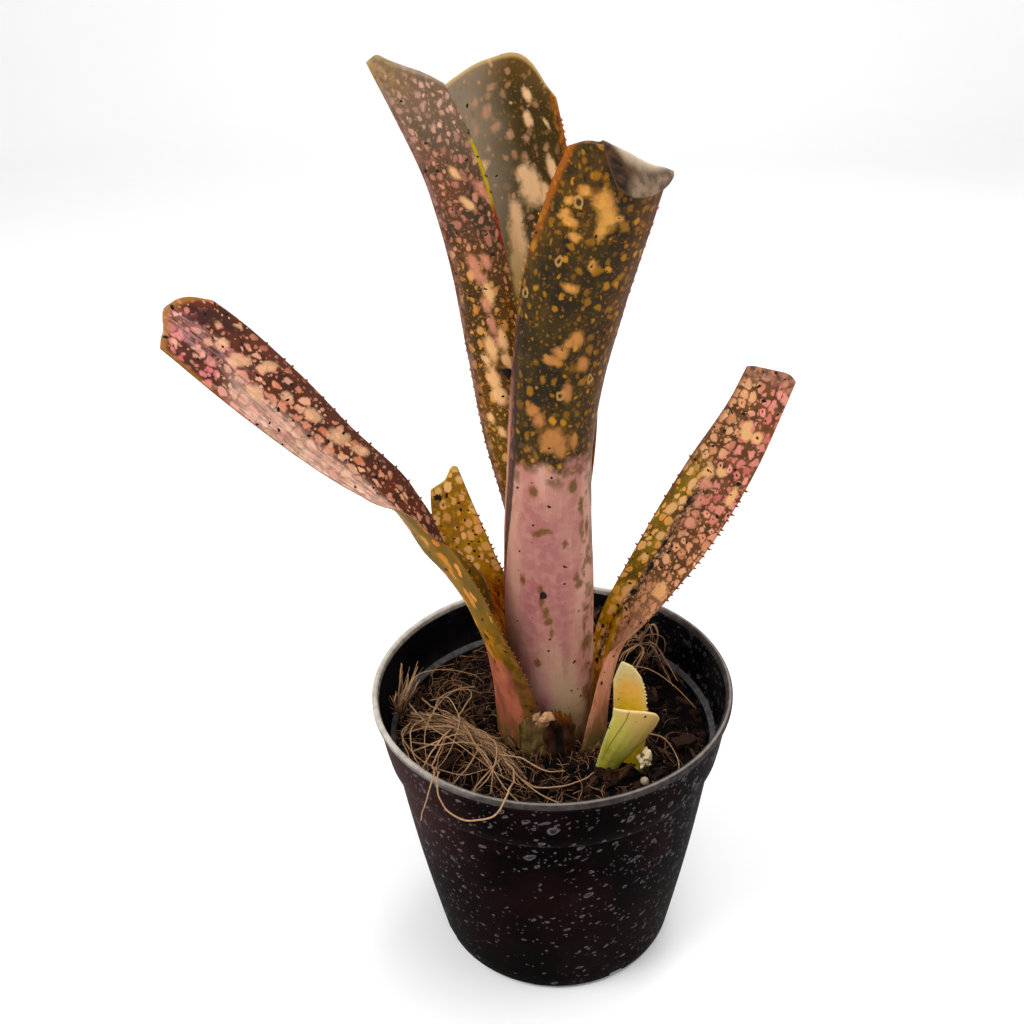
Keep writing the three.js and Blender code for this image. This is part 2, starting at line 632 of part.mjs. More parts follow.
function potSolid() {
  const ledgeOut = LEDGE_OUTER_RADIUS + WALL;
  const wallHeights = [1.4, 22, 43, 64];
  const shell = [
    [BASE_RADIUS - 1.6, 0],
    ...wallHeights.map((z) => [potOuter(z), z]),
    [SHOULDER_RADIUS, SHOULDER_Z],
    [ledgeOut, SHOULDER_Z + 1.2],
    [UPPER_INNER_RADIUS + WALL, POT_HEIGHT - RIM_LIP_HEIGHT],
    [RIM_RADIUS, POT_HEIGHT - RIM_LIP_HEIGHT],
    [RIM_RADIUS, POT_HEIGHT - 0.4],
    [RIM_RADIUS - 0.4, POT_HEIGHT],
    [UPPER_INNER_RADIUS + 0.2, POT_HEIGHT],
    [LEDGE_OUTER_RADIUS, LEDGE_Z + 0.4],
    [LEDGE_INNER_RADIUS, LEDGE_Z - 0.4],
    ...wallHeights.slice(1).reverse().map((z) => [potOuter(z) - WALL, z]),
    [potOuter(BASE_PLATE) - WALL, BASE_PLATE],
    [AXIS_RADIUS, BASE_PLATE],
    [AXIS_RADIUS, 0],
  ];
  let pot = turned(() => shell, POT_SEGMENTS).add(core(0, BASE_PLATE));
  for (let i = 0; i < DRAIN_HOLES; i++) {
    const a = ((i + 0.5) / DRAIN_HOLES) * 2 * Math.PI;
    const [x, y] = [DRAIN_HOLE_CIRCLE * Math.cos(a), DRAIN_HOLE_CIRCLE * Math.sin(a)];
    const hole = upright(DRAIN_HOLE_DEPTH, DRAIN_HOLE_RADIUS, DRAIN_HOLE_RADIUS, DRAIN_HOLE_SIDES)
      .translate([x, y, -DRAIN_HOLE_DEPTH / 2]);
    pot = pot.subtract(hole);
  }
  for (let i = 0; i < EDGE_NOTCHES; i++) {
    const notch = new THREE.BoxGeometry(EDGE_NOTCH_DEPTH, EDGE_NOTCH_WIDTH, EDGE_NOTCH_HEIGHT * 2);
    notch.translate(BASE_RADIUS, 0, 0);
    notch.rotateZ((EDGE_NOTCH_START + (i * 360) / EDGE_NOTCHES) * RAD);
    pot = pot.subtract(formSolid(notch));
  }
  return pot;
}

// Inner radius of the pot at a height
function potInner(z) {
  if (z < LEDGE_Z) return potOuter(z) - WALL;
  return LEDGE_OUTER_RADIUS
    + ((UPPER_INNER_RADIUS - LEDGE_OUTER_RADIUS) * (z - LEDGE_Z)) / (POT_HEIGHT - LEDGE_Z);
}

const BEDDED = [
  LEAVES.leaf_front, LEAVES.leaf_back, LEAVES.leaf_left, LEAVES.leaf_right, LEAVES.leaf_short,
  LEAVES.old_sheath, BRACT,
];
const BEDDED_BELOW = 95;
const BEDDED_SHARE = 0.5;
const OUTLINE_STEPS = 60;

// How far out the leaf bases reach below the soil, for each way round
function baseOutline() {
  const reach = new Array(SOIL_SEGMENTS).fill(CROWN_RADIUS);
  for (const leaf of BEDDED) {
    const surface = leafSurface(leaf);
    for (let i = 0; i <= OUTLINE_STEPS; i++) {
      for (let j = 0; j <= OUTLINE_STEPS; j++) {
        const { point, normal } = surface((2 * i) / OUTLINE_STEPS - 1, (j / OUTLINE_STEPS) * BEDDED_SHARE);
        if (point[2] > BEDDED_BELOW) continue;
        const p = add(point, normal, LEAF_BASE_THICKNESS / 2);
        const r = Math.hypot(p[0], p[1]);
        const a = (Math.atan2(p[1], p[0]) / (2 * Math.PI)) * SOIL_SEGMENTS + SOIL_SEGMENTS;
        for (const k of [Math.floor(a), Math.ceil(a)]) {
          const at = k % SOIL_SEGMENTS;
          reach[at] = Math.max(reach[at], r);
        }
      }
    }
  }
  return reach.map((r) => r + HOLE_GAP);
}

function turned(profileAt, segments) {
  const points = [];
  const faces = [];
  for (let i = 0; i < segments; i++) {
    const a = (i / segments) * 2 * Math.PI;
    for (const [r, z] of profileAt(i, a)) points.push([r * Math.cos(a), r * Math.sin(a), z]);
  }
  const n = points.length / segments;
  for (let i = 0; i < segments; i++) {
    for (let j = 0; j < n; j++) {
      const a = i * n + j;
      const b = i * n + ((j + 1) % n);
      const c = ((i + 1) % segments) * n + ((j + 1) % n);
      const d = ((i + 1) % segments) * n + j;
      faces.push([a, d, c], [a, c, b]);
    }
  }
  const solid = solidFrom(points, faces);
  if (solid.volume() > 0) return solid;
  return solidFrom(points, faces.map(([a, b, c]) => [a, c, b]));
}

const outline = baseOutline();

// The short stem that every leaf base stands on
function crownSolid() {
  const solid = turned((i) => {
    const r = outline[i] - CROWN_GAP;
    return [[AXIS_RADIUS, CROWN_TOP], [r, CROWN_TOP], [r, CROWN_TOP - CROWN_SHOULDER],
      [r * CROWN_TAPER, CROWN_BOTTOM], [AXIS_RADIUS, CROWN_BOTTOM]];
  }, SOIL_SEGMENTS);
  return solid.add(core(CROWN_BOTTOM, CROWN_TOP));
}

// Potting mix: fills the pot up to a small gap, with one plain hole for the crown and leaf bases.
// Where its top is above the ledge, it lies over the ledge as well.
function soilSolid() {
  const bottom = BASE_PLATE + GAP;
  const soil = turned((i, a) => {
    const [c, s] = [Math.cos(a), Math.sin(a)];
    const profile = [[AXIS_RADIUS, CROWN_BOTTOM - GAP], [outline[i], CROWN_BOTTOM - GAP]];
    let edge = LEDGE_INNER_RADIUS - SOIL_EDGE_INSET;
    const edgeZ = soilTop(edge * c, edge * s);
    const high = Math.min(Math.max((edgeZ - OVER_LEDGE_Z) / OVER_LEDGE_RISE, 0), 1);
    if (high === 0) edge = Math.min(edge, potInner(edgeZ) - SOIL_GAP - BRIM_WIDTH - 0.2);
    for (const share of SOIL_RINGS) {
      const r = outline[i] + (edge - outline[i]) * share;
      profile.push([r, soilTop(r * c, r * s)]);
    }
    const brim = edge + BRIM_WIDTH + (OVER_LEDGE_WIDTH - BRIM_WIDTH) * high;
    profile.push([brim, edgeZ - 0.5], [brim, high ? OVER_LEDGE_Z : edgeZ - 1.1]);
    const inset = potInner(LEDGE_Z - 0.5) - SOIL_GAP - 0.3;
    profile.push(high ? [inset, OVER_LEDGE_Z - 0.4] : [brim - 0.1, edgeZ - 1.3]);
    const below = high ? LEDGE_Z - 1 : edgeZ - 1.6;
    profile.push([potInner(below) - SOIL_GAP, below], [potInner(bottom) - SOIL_GAP, bottom]);
    profile.push([AXIS_RADIUS, bottom]);
    return profile;
  }, SOIL_SEGMENTS);
  return soil.add(core(bottom, CROWN_BOTTOM - GAP));
}

// Upright slot in the soil for a leaf that stands in it: a plain convex hole round its foot
function slotFor(leaf, below) {
  const surface = leafSurface(leaf);
  const reach = LEAF_BASE_THICKNESS / 2 + GAP;
  const rows = leaf.rows ?? LEAF_ROWS;
  const foot = [];
  for (let i = 0; i <= rows; i++) {
    for (const u of leaf.columns) {
      const { point } = surface(u, i / rows);
      if (point[2] <= below || i === 0) foot.push(point);
    }
  }
  const bottom = Math.min(...foot.map((point) => point[2])) - reach;
  const corners = [];
  for (const [x, y] of foot) {
    for (const [dx, dy] of [[-reach, -reach], [reach, -reach], [reach, reach], [-reach, reach]]) {
      corners.push(new THREE.Vector3(x + dx, y + dy, bottom));
      corners.push(new THREE.Vector3(x + dx, y + dy, POT_HEIGHT));
    }
  }
  return formSolid(new ConvexGeometry(corners));
}

function chipSolid([x, y, length, width, height, turn]) {
  let top = -Infinity;
  const [c, s] = [Math.cos(turn * RAD), Math.sin(turn * RAD)];
  for (let i = -4; i <= 4; i++) {
    for (let j = -4; j <= 4; j++) {
      const [p, q] = [(i / 8) * length, (j / 8) * width];
      top = Math.max(top, soilTop(x + p * c - q * s, y + p * s + q * c));
    }
  }
  const corners = CHIP_CORNERS.map(([p, q, h]) => {
    const [a, b] = [p * length, q * width];
    return new THREE.Vector3(x + a * c - b * s, y + a * s + b * c, top + GAP + h * height);
  });
  return formSolid(new ConvexGeometry(corners));
}

const group = new THREE.Group();

function addPiece(name, solid, colour) {
  const mesh = solid.getMesh();
  const geometry = new THREE.BufferGeometry();
  const n = mesh.numProp;
  const points = new Float32Array((mesh.vertProperties.length / n) * 3);
  for (let i = 0; i < points.length / 3; i++) {
    for (let k = 0; k < 3; k++) points[i * 3 + k] = mesh.vertProperties[i * n + k];
  }
  geometry.setAttribute("position", new THREE.BufferAttribute(points, 3));
  geometry.setIndex(new THREE.BufferAttribute(new Uint32Array(mesh.triVerts), 1));
  const piece = new THREE.Mesh(geometry, new THREE.MeshStandardMaterial({ color: colour, roughness: 0.7 }));
  piece.name = name;
  group.add(piece);
}

// Pieces that stand in slots of their own
const SLOTTED = ["pup_blade", "pup_outer_leaf", "pup_husk"];
const SLOTTED_BELOW = 92;
let soil = soilSolid();
const leaves = {};
for (const [name, leaf] of Object.entries(LEAVES)) {
  leaves[name] = leafSolid(leaf);
  if (SLOTTED.includes(name)) soil = soil.subtract(slotFor(leaf, SLOTTED_BELOW));
}

const pot = potSolid();
addPiece("pot", pot, 0x241a1e);
addPiece("soil", soil, 0x2a1c14);
addPiece("crown", crownSolid(), 0xb9a07c);
for (const [name, solid] of Object.entries(leaves)) addPiece(name, solid, LEAVES[name].colour);
addPiece("dry_bract", leafSolid(BRACT).add(ball(BRACT_CRUMB)), BRACT.colour);

function fibreNode(core, lines) {
  let solid = core;
  for (const line of lines) solid = solid.add(rod(line, FIBRE_ROOT_RADIUS, FIBRE_END_RADIUS));
  return solid;
}
// Lowers a loose piece until it all but touches what it lies on
function settle(solid, supports) {
  let resting = solid;
  for (let i = 0; i < 30; i++) {
    const gap = Math.min(...supports.map((support) => resting.minGap(support, 20)));
    if (gap < REST_GAP + 0.01) break;
    resting = resting.translate([0, 0, REST_GAP - gap]);
  }
  return resting;
}

const tuft = settle(fibreNode(ball(TUFT), TUFT_FIBRES), [pot, soil]);
addPiece("coir_tuft", tuft, 0xb08a60);
addPiece("coir_wad", settle(fibreNode(wadSolid(WAD), WAD_FIBRES), [pot, soil, tuft]), 0xa9825a);
addPiece("coir_back", settle(fibreNode(ball(BACK_ROOT), BACK_FIBRES), [pot, soil]), 0x9a7650);
for (const [name, chip] of Object.entries(CHIPS)) addPiece(name, chipSolid(chip), 0x5a3b26);
const pelletZ = soilTop(PELLET[0], PELLET[1]) + PELLET[2] + GAP;
addPiece("pellet", ball([PELLET[0], PELLET[1], pelletZ, PELLET[2]], GRAIN_SPLITS), 0xb8a58c);
const stub = upright(PUP_STUB[4], PUP_STUB[2], PUP_STUB[3], STUB_SIDES);
const stubZ = soilTop(PUP_STUB[0], PUP_STUB[1]) + STUB_GAP;
addPiece("pup_stub", stub.translate([PUP_STUB[0], PUP_STUB[1], stubZ]), 0xe8dcc0);

export default group;
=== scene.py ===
# Looks of the potted bromeliad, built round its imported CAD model. Lengths in the tables are mm.
import math
import random

import bmesh
import bpy
import numpy as np
from mathutils import Matrix, Vector, noise


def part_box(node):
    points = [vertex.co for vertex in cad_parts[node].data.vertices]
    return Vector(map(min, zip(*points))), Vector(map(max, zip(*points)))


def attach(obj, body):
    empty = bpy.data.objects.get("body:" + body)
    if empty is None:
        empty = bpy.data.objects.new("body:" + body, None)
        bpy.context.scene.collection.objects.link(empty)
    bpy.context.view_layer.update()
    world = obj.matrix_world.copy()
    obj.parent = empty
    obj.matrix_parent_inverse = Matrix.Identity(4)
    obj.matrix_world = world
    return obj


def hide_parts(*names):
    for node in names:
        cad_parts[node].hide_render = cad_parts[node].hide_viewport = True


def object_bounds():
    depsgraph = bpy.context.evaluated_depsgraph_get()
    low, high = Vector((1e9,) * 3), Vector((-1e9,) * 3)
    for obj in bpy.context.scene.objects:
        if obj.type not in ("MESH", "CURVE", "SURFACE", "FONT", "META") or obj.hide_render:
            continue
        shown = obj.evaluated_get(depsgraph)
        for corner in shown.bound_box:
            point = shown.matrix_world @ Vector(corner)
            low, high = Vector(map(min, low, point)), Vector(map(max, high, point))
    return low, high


MM = 0.001

# Camera, as the photo was taken
CAMERA_PLACE = (0, -295, 331.9)
CAMERA_TURN = (62.36, 1.99, 1.25)
CAMERA_LENS = 35.16
CAMERA_SENSOR = 36

# Pot, as in the CAD
POT_HEIGHT = 109.2
RIM_RADIUS = 65
RIM_LIP_HEIGHT = 2.2
BASE_RADIUS = 46
SHOULDER_RADIUS = 59.2
SHOULDER_Z = 86.8
WALL_BULGE = 0.9
WALL = 1.2
BASE_PLATE = 2
LEDGE_Z = 89
LEDGE_INNER_RADIUS = 58
LEDGE_OUTER_RADIUS = 60.1
UPPER_INNER_RADIUS = 62.9
DRAIN_HOLE_RADIUS = 4
DRAIN_HOLE_CIRCLE = 30
DRAIN_HOLES = 6
EDGE_NOTCHES = 4
EDGE_NOTCH_WIDTH = 6
EDGE_NOTCH_HEIGHT = 3
EDGE_NOTCH_START = -61
SOIL_LEVEL = 85.5

# Leaves, as in the CAD. Stations: x, y, z of the midrib, width, twist, curl left, curl right, fold.
# tip: how much shorter the blade ends than its last station, from the left to the right margin.
# spines: margin, from and to as shares of the length, spacing.
LEAVES = {
    "leaf_front": dict(
        heading=270,
        stations=[
            (0, -14, 80.3, 46, 0, 90, 96, 0),
            (0.5, -15.5, 115, 49.5, 0, 91, 98, 0),
            (0.5, -16, 149, 49.5, 0, 90, 98, 0),
            (1, -16.5, 180, 44.5, 0, 86, 96, 0),
            (2, -17, 204, 39, 0, 79, 90, 0),
            (4, -18.5, 223, 37, 0, 68, 80, 0),
            (8.5, -22.5, 250, 36.5, 0, 54, 66, 0),
            (13.5, -27, 270.5, 34.5, 0, 46, 58, 0),
            (17, -30, 282, 32.5, 0, 44, 55, 0),
            (21, -34.5, 294.5, 28.5, 0, 40, 50, 0),
        ],
        tip=(5, 1.5, 0, 0, 0.5, 1.5, 2.5, 3.5, 5),
        spines=[(-1, 0.6, 0.985, 3.4), (1, 0.5, 0.97, 4)],
        spine_size=1.35,
        fold_over=dict(hang=(0.4, 0.4, 0.4, 6.5, 11, 12, 10.5, 7, 1.2), radius=1.7, angle=160),
    ),
    "leaf_back": dict(
        heading=90,
        stations=[
            (-0.5, 12, 80.3, 37.5, 0, 84, 84, 0),
            (-0.5, 12.5, 96, 38, 0, 84, 84, 0),
            (-0.5, 13.5, 134, 39, 0, 88, 78, 0),
            (0.5, 14, 174, 36.5, 0, 80, 64, 0),
            (1.5, 16.5, 210, 37.5, 0, 62, 58, 0),
            (-2, 20, 237, 40, 0, 58, 58, 0),
            (-6, 23, 260, 43, 0, 56, 56, 0),
            (-11, 27, 286, 44, 0, 50, 50, 0),
            (-14, 30, 305, 41.5, 0, 44, 44, 0),
            (-13, 31.5, 316, 39.5, 0, 42, 42, 0),
        ],
        tip=(17, 6.5, 1.6, 0.5, 2, 4.2, 7.5, 10.5, 13),
        spines=[(-1, 0.66, 0.97, 2.5), (1, 0.5, 0.92, 5)],
        spine_size=1.7,
    ),
    "leaf_inner": dict(
        heading=262,
        stations=[
            (-1, -0.5, 80.3, 19, 0, 50, 50, 0),
            (-0.5, -1, 122, 19.5, 0, 55, 55, 0),
            (-2.5, -1, 155, 20, 0, 52, 52, 0),
            (-6.5, -2, 181, 20, 0, 44, 46, 0),
            (-11.5, -2.5, 205, 19, 0, 36, 42, 0),
            (-15.5, -4.5, 236, 18, 0, 30, 34, 0),
            (-19.5, -7.5, 266, 17.5, 0, 26, 28, 0),
            (-24.5, -12, 289, 17.5, 0, 26, 26, 0),
            (-32.5, -15, 308.5, 16.5, 0, 22, 22, 0),
            (-37.5, -17, 319.5, 15.5, 0, 20, 20, 0),
        ],
        tip=(0.5, 0, 0, 2, 4, 6, 8, 10.5, 13.5),
        spines=[(-1, 0.42, 0.66, 3), (1, 0.6, 0.9, 6)],
    ),
    "leaf_left": dict(
        heading=188,
        stations=[
            (-16, -10, 80.6, 33, 28, 50, 51, 0),
            (-18, -10, 110, 32, 22, 47, 53, 0),
            (-21, -11, 127, 30.5, 13, 44, 51, 0.1),
            (-24.5, -12, 141, 29.5, 2, 42, 52, 0.25),
            (-28.5, -13, 153, 27.5, -3, 38, 55, 0.4),
            (-34.5, -12.5, 162.5, 26, -5, 33, 57, 0.5),
            (-40.5, -10.5, 169, 24.5, -9, 36, 58, 0.5),
            (-45.5, -8, 177.5, 22.5, -18, 37, 54, 0.5),
            (-50.5, -6, 185, 20, -29, 32, 44, 0.5),
            (-57, -6, 193, 18.5, -42, 28, 33, 0.5),
            (-65, -7, 202, 18.5, -51, 23, 25, 0.5),
            (-81.5, -11, 223, 21.5, -58, 15, 17, 0.5),
            (-98, -14, 242.5, 22, -60, 12, 12, 0.5),
            (-109.5, -14.5, 253.5, 20.5, -60, 10, 10, 0.5),
        ],
        tip=(9, 4, 1.5, 0.5, 0, 1.5, 3.5, 4.5, 6),
        spines=[(1, 0.1, 0.42, 2.6), (-1, 0.35, 0.92, 6)],
    ),
    "leaf_right": dict(
        heading=8,
        stations=[
            (19.5, -3.5, 82.9, 41.5, -6, 70, 56, 0),
            (20.5, -0.5, 100.5, 35, 0, 67, 54, 0),
            (22.5, 2, 112, 30, 5, 65, 50, 0.1),
            (25.5, 5.5, 120, 24.5, 15, 62, 44, 0.25),
            (30, 8.5, 132, 20.5, 40, 44, 40, 0.4),
            (36.5, 10, 145, 21, 57, 35, 37, 0.4),
            (42.5, 10.5, 157, 23, 67, 29, 35, 0.4),
            (48.5, 10.5, 169, 24, 71, 26, 33, 0.4),
            (55.5, 10.5, 182, 23, 70, 23, 28, 0.3),
            (62.5, 11.5, 194.5, 20.5, 66, 19, 21, 0.3),
            (68, 12.5, 205.5, 18, 64, 17, 18, 0.3),
            (74.5, 15.5, 220, 16.5, 63, 15, 15, 0.3),
        ],
        tip=(1.4, 0.2, 0, 0.3, 0.7, 1.1, 1.5, 1.9, 2.8),
        spines=[(-1, 0.34, 0.76, 3), (1, 0.4, 0.78, 5)],
        spine_size=1.35,
    ),
    "leaf_short": dict(
        heading=152,
        stations=[
            (-14, 9.5, 80.5, 14, -7, 24, 24, 0),
            (-14, 10, 96, 14.5, -8, 24, 24, 0),
            (-15, 12, 114, 15.5, -9, 26, 26, 0),
            (-20, 12, 133, 17, -22, 28, 28, 0),
            (-26.5, 9.5, 150.5, 18, -36, 28, 28, 0),
            (-30.5, 10, 163, 17.5, -44, 26, 26, 0),
            (-33, 11, 174, 15, -48, 24, 24, 0),
            (-35, 12.5, 189, 9, -48, 18, 18, 0),
        ],
        tip=(1, 0.5, 1, 2.5, 4.5, 5.5, 6, 6.5, 7),
        spines=[(-1, 0.45, 0.85, 3)],
    ),
    "pup_blade": dict(
        heading=75,
        stations=[
            (26.2, -20.4, 83, 11.5, 0, 30, 30, 0),
            (27, -19.8, 98, 12.4, 0, 30, 30, 0),
            (27.4, -19.1, 110, 12.2, 0, 30, 30, 0),
            (26.8, -18.7, 119, 11.2, 0, 28, 28, 0),
            (25.2, -18.4, 129, 8.8, 0, 24, 24, 0),
        ],
        tip=(6, 3.4, 1.9, 1, 0.4, 0, 1.6, 4, 7),
        spines=[(-1, 0.5, 0.97, 2)],
    ),
    "pup_outer_leaf": dict(
        heading=272,
        stations=[
            (17.4, -26.9, 83, 8, 0, 34, 30, 0),
            (19.4, -27.1, 91.3, 8.6, 0, 34, 28, 0),
            (22.8, -27.3, 98.8, 12, 0, 32, 26, 0),
            (26.2, -27.3, 105.5, 14.8, 0, 30, 24, 0),
            (28.4, -27.2, 110.5, 16.4, 0, 28, 22, 0),
            (29.3, -27.1, 115.2, 17.4, 0, 26, 20, 0),
        ],
        tip=(1.2, 1, 0.7, 0.4, 0.2, 0.2, 0.5, 1.4, 3.4),
        spines=[],
    ),
    "pup_husk": dict(
        heading=272,
        stations=[
            (20.6, -29.9, 83, 13.5, 0, 34, 30, 0),
            (21.2, -30.2, 90, 14, 0, 34, 30, 0),
            (22.4, -30.4, 97, 14, 0, 32, 28, 0),
        ],
        tip=(9, 8, 7.6, 6.4, 6, 5, 3.4, 1.6, 2.6),
        spines=[],
    ),
    "old_sheath": dict(
        heading=268,
        stations=[
            (-2.2, -21.2, 80.4, 19.6, 0, 30, 28, 0),
            (-2.2, -21.3, 96, 19.6, 0, 30, 28, 0),
            (-2.2, -21.5, 112, 19, 0, 29, 27, 0),
        ],
        tip=(9, 5.5, 3.2, 2.2, 3.4, 5.4, 8, 11.5, 15),
        spines=[],
    ),
    "dry_bract": dict(
        heading=264,
        stations=[
            (3, -24.8, 80.5, 10, 6, 34, 38, 0),
            (3.1, -25.2, 92, 12, 4, 40, 56, 0),
            (2.8, -25.5, 103, 12.4, -4, 42, 78, 0),
            (1.9, -25.8, 115.4, 9.5, -10, 40, 100, 0),
        ],
        tip=(3.5, 1.8, 0.6, 0, 0.4, 1, 2.2, 3, 4.2),
        spines=[],
    ),
}
# Coir fibres, as in the CAD: points along each one. The last number of a lump is its radius.
WAD = [
    (-54.5, -2, 93, 2.4),
    (-45, -4.5, 94.5, 3),
    (-36, -8, 95.2, 3.6),
    (-26, -15.8, 94.8, 3.4),
    (-17.6, -23.6, 93.8, 2.8),
    (-10, -35.4, 92.6, 1.8),
]
WAD_FIBRES = [
    [(-17.6, -23.6, 94), (-13.6, -34, 97), (-12.6, -46, 103), (-13.4, -56, 110.8), (-14.2, -62.3, 112.6),
        (-16.2, -65.8, 110.6), (-19.2, -66, 107.4), (-24, -64.4, 104.6), (-29, -62.3, 103),
        (-33, -60.4, 104.2), (-36, -58.4, 108), (-36.6, -55.6, 111.6), (-36.6, -50.5, 111.4),
        (-38.2, -42.5, 104), (-39.6, -30, 98.5), (-37, -10, 95.5)],
    [(-37, -10, 95.5), (-40.6, -33, 100.5), (-38.6, -47, 109.6), (-37.9, -52.4, 112.2),
        (-38.8, -56, 110.6), (-40.6, -55.6, 104.5), (-42.6, -53.6, 98), (-43.6, -52.8, 93)],
    [(-50, 13, 91.5), (-45, 3, 95.5), (-37, -5, 98), (-27, -15, 96)],
    [(-56, -12, 92.5), (-50, -14, 98), (-38, -12, 98), (-26, -16, 96)],
    [(-50, -22, 95), (-43, -22, 98.5), (-34, -15, 97), (-28, -14.5, 95.5)],
    [(-36, -9, 95.5), (-40, -22, 99), (-45, -33, 97), (-44, -32, 92)],
    [(-26, -17, 95), (-28, -30, 97.5), (-35, -39, 95), (-39, -36, 91.5)],
    [(-17.6, -24, 94), (-24, -38, 97), (-30, -46, 92.5)],
    [(-11, -34, 93), (-4, -41, 95.6), (8, -38, 95), (14, -31, 92.8)],
    [(-19, -23, 94.5), (-11, -29, 98), (-3, -34, 97), (4, -32, 94.6)],
    [(-45, -4.5, 95), (-41, 6, 98), (-33, 12, 96), (-27, 17, 90.5)],
    [(-36, -8, 95.5), (-31, 0, 99.5), (-30, 9, 96), (-33, 20, 90.5)],
    [(-30, -13, 96), (-27, -24, 101), (-21, -33, 98), (-21, -41, 93)],
    [(-52, -3, 93.5), (-54, -15, 97), (-49, -28, 96), (-40, -40, 93)],
]
TUFT = (-57, 3, 92, 1.6)
TUFT_FIBRES = [
    [(-57, 2.6, 91.6), (-56.6, 0, 102), (-54, -5, 115), (-52.6, -8, 124)],
    [(-57, 2.8, 91.6), (-55, -4, 104), (-51, -10, 116), (-49.6, -14, 123.6)],
    [(-56.6, 3, 91.6), (-53.6, -3, 102), (-49, -10, 113), (-46.4, -15.4, 121)],
    [(-57, 3, 91.8), (-56.8, -6, 103), (-55.4, -14, 112), (-53.6, -19, 119)],
    [(-57, 3.2, 91.6), (-54.6, 10, 98), (-51, 17, 104)],
]
BACK_ROOT = (36.6, 40.6, 95.5, 1.7)
BACK_FIBRES = [
    [(36.6, 40.6, 95.5), (38.8, 40, 102), (41.2, 38.2, 106.6), (43, 36.6, 103.5), (42.2, 36.6, 97.5),
        (39.2, 36, 92.8)],
    [(36.6, 40.6, 95.5), (33.4, 37, 96.5), (29.6, 35.6, 95), (27.4, 33.4, 92.4)],
    [(36.6, 40.6, 95.5), (41.6, 37, 98), (46, 30.6, 94), (49.6, 23, 90)],
    [(36.6, 40.4, 95.4), (37, 33, 97), (34, 27.6, 94), (32, 22, 91)],
]
# Pale lump on the bract: x, y, z, radius
BRACT_CRUMB = (-3.7, -25.3, 110.4, 2.6)
# Thinner loose fibres that only the looks have
LOOSE_FIBRES = [
    [(-54, -1, 101), (-44, -12, 97.5), (-32, -22, 96), (-20, -33, 94.5), (-9, -39, 92)],
    [(-50, -18, 95), (-41, -27, 101.5), (-30, -27, 102), (-21, -27, 98), (-17, -35, 93)],
    [(-46, 8, 93), (-38, -1, 101), (-33, -14, 101), (-36, -27, 97), (-44, -35, 93)],
    [(-24, -15, 96), (-19, -30, 102.5), (-21, -42, 101), (-29, -47, 96), (-37, -43, 92)],
    [(-53, -8, 94), (-52, -22, 99), (-44, -33, 99), (-32, -36, 96), (-22, -31, 94)],
    [(-15, -30, 94), (-6, -44, 95.5), (7, -50, 94), (20, -49, 92), (28, -44, 90)],
    [(-30, 20, 90), (-36, 10, 96), (-42, -4, 99.5), (-45, -20, 99), (-43, -33, 94)],
    [(-57, 2, 98), (-50, 14, 101), (-40, 22, 97), (-30, 26, 91)],
    [(-34, -6, 96), (-22, -34, 99), (-14, -46, 96), (-4, -52, 93), (6, -53, 91)],
    [(-44, -5, 96), (-49, -20, 103), (-47, -34, 102.5), (-40, -42, 97), (-33, -46, 92)],
    [(30, 30, 92), (38, 20, 97), (46, 12, 96), (54, 5, 90)],
    [(34, -6, 88), (41, -14, 91), (44, -24, 90), (41, -34, 88)],
]

# Bits lying on the soil: x, y, length, width, height, turn
CHIPS = {
    "bark_strip": (-38.5, -26, 15, 4, 2.2, 52),
    "bark_chip_right": (48, -8, 8, 6, 2.6, 20),
    "bark_chip_back": (38, 14, 6.5, 5, 2.4, -35),
    "bark_chip_front": (-9.5, -44.5, 9, 5.5, 2.6, 28),
}
FOLD_SHARE = 0.72
LEAF_BASE_THICKNESS = 0.9
LEAF_TIP_THICKNESS = 0.7
EDGE_THINNING = 0.55
# How far the markings of the inner side lie from those of the outer side
INNER_SHIFT = (137, 0, 0)

rng = random.Random(7)
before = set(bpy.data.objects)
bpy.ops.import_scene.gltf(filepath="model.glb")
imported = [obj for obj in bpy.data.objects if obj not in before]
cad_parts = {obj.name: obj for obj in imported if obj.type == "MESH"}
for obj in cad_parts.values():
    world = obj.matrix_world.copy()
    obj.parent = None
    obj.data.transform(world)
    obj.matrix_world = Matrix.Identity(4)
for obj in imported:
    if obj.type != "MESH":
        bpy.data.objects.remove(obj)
cad_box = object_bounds()


# Node trees

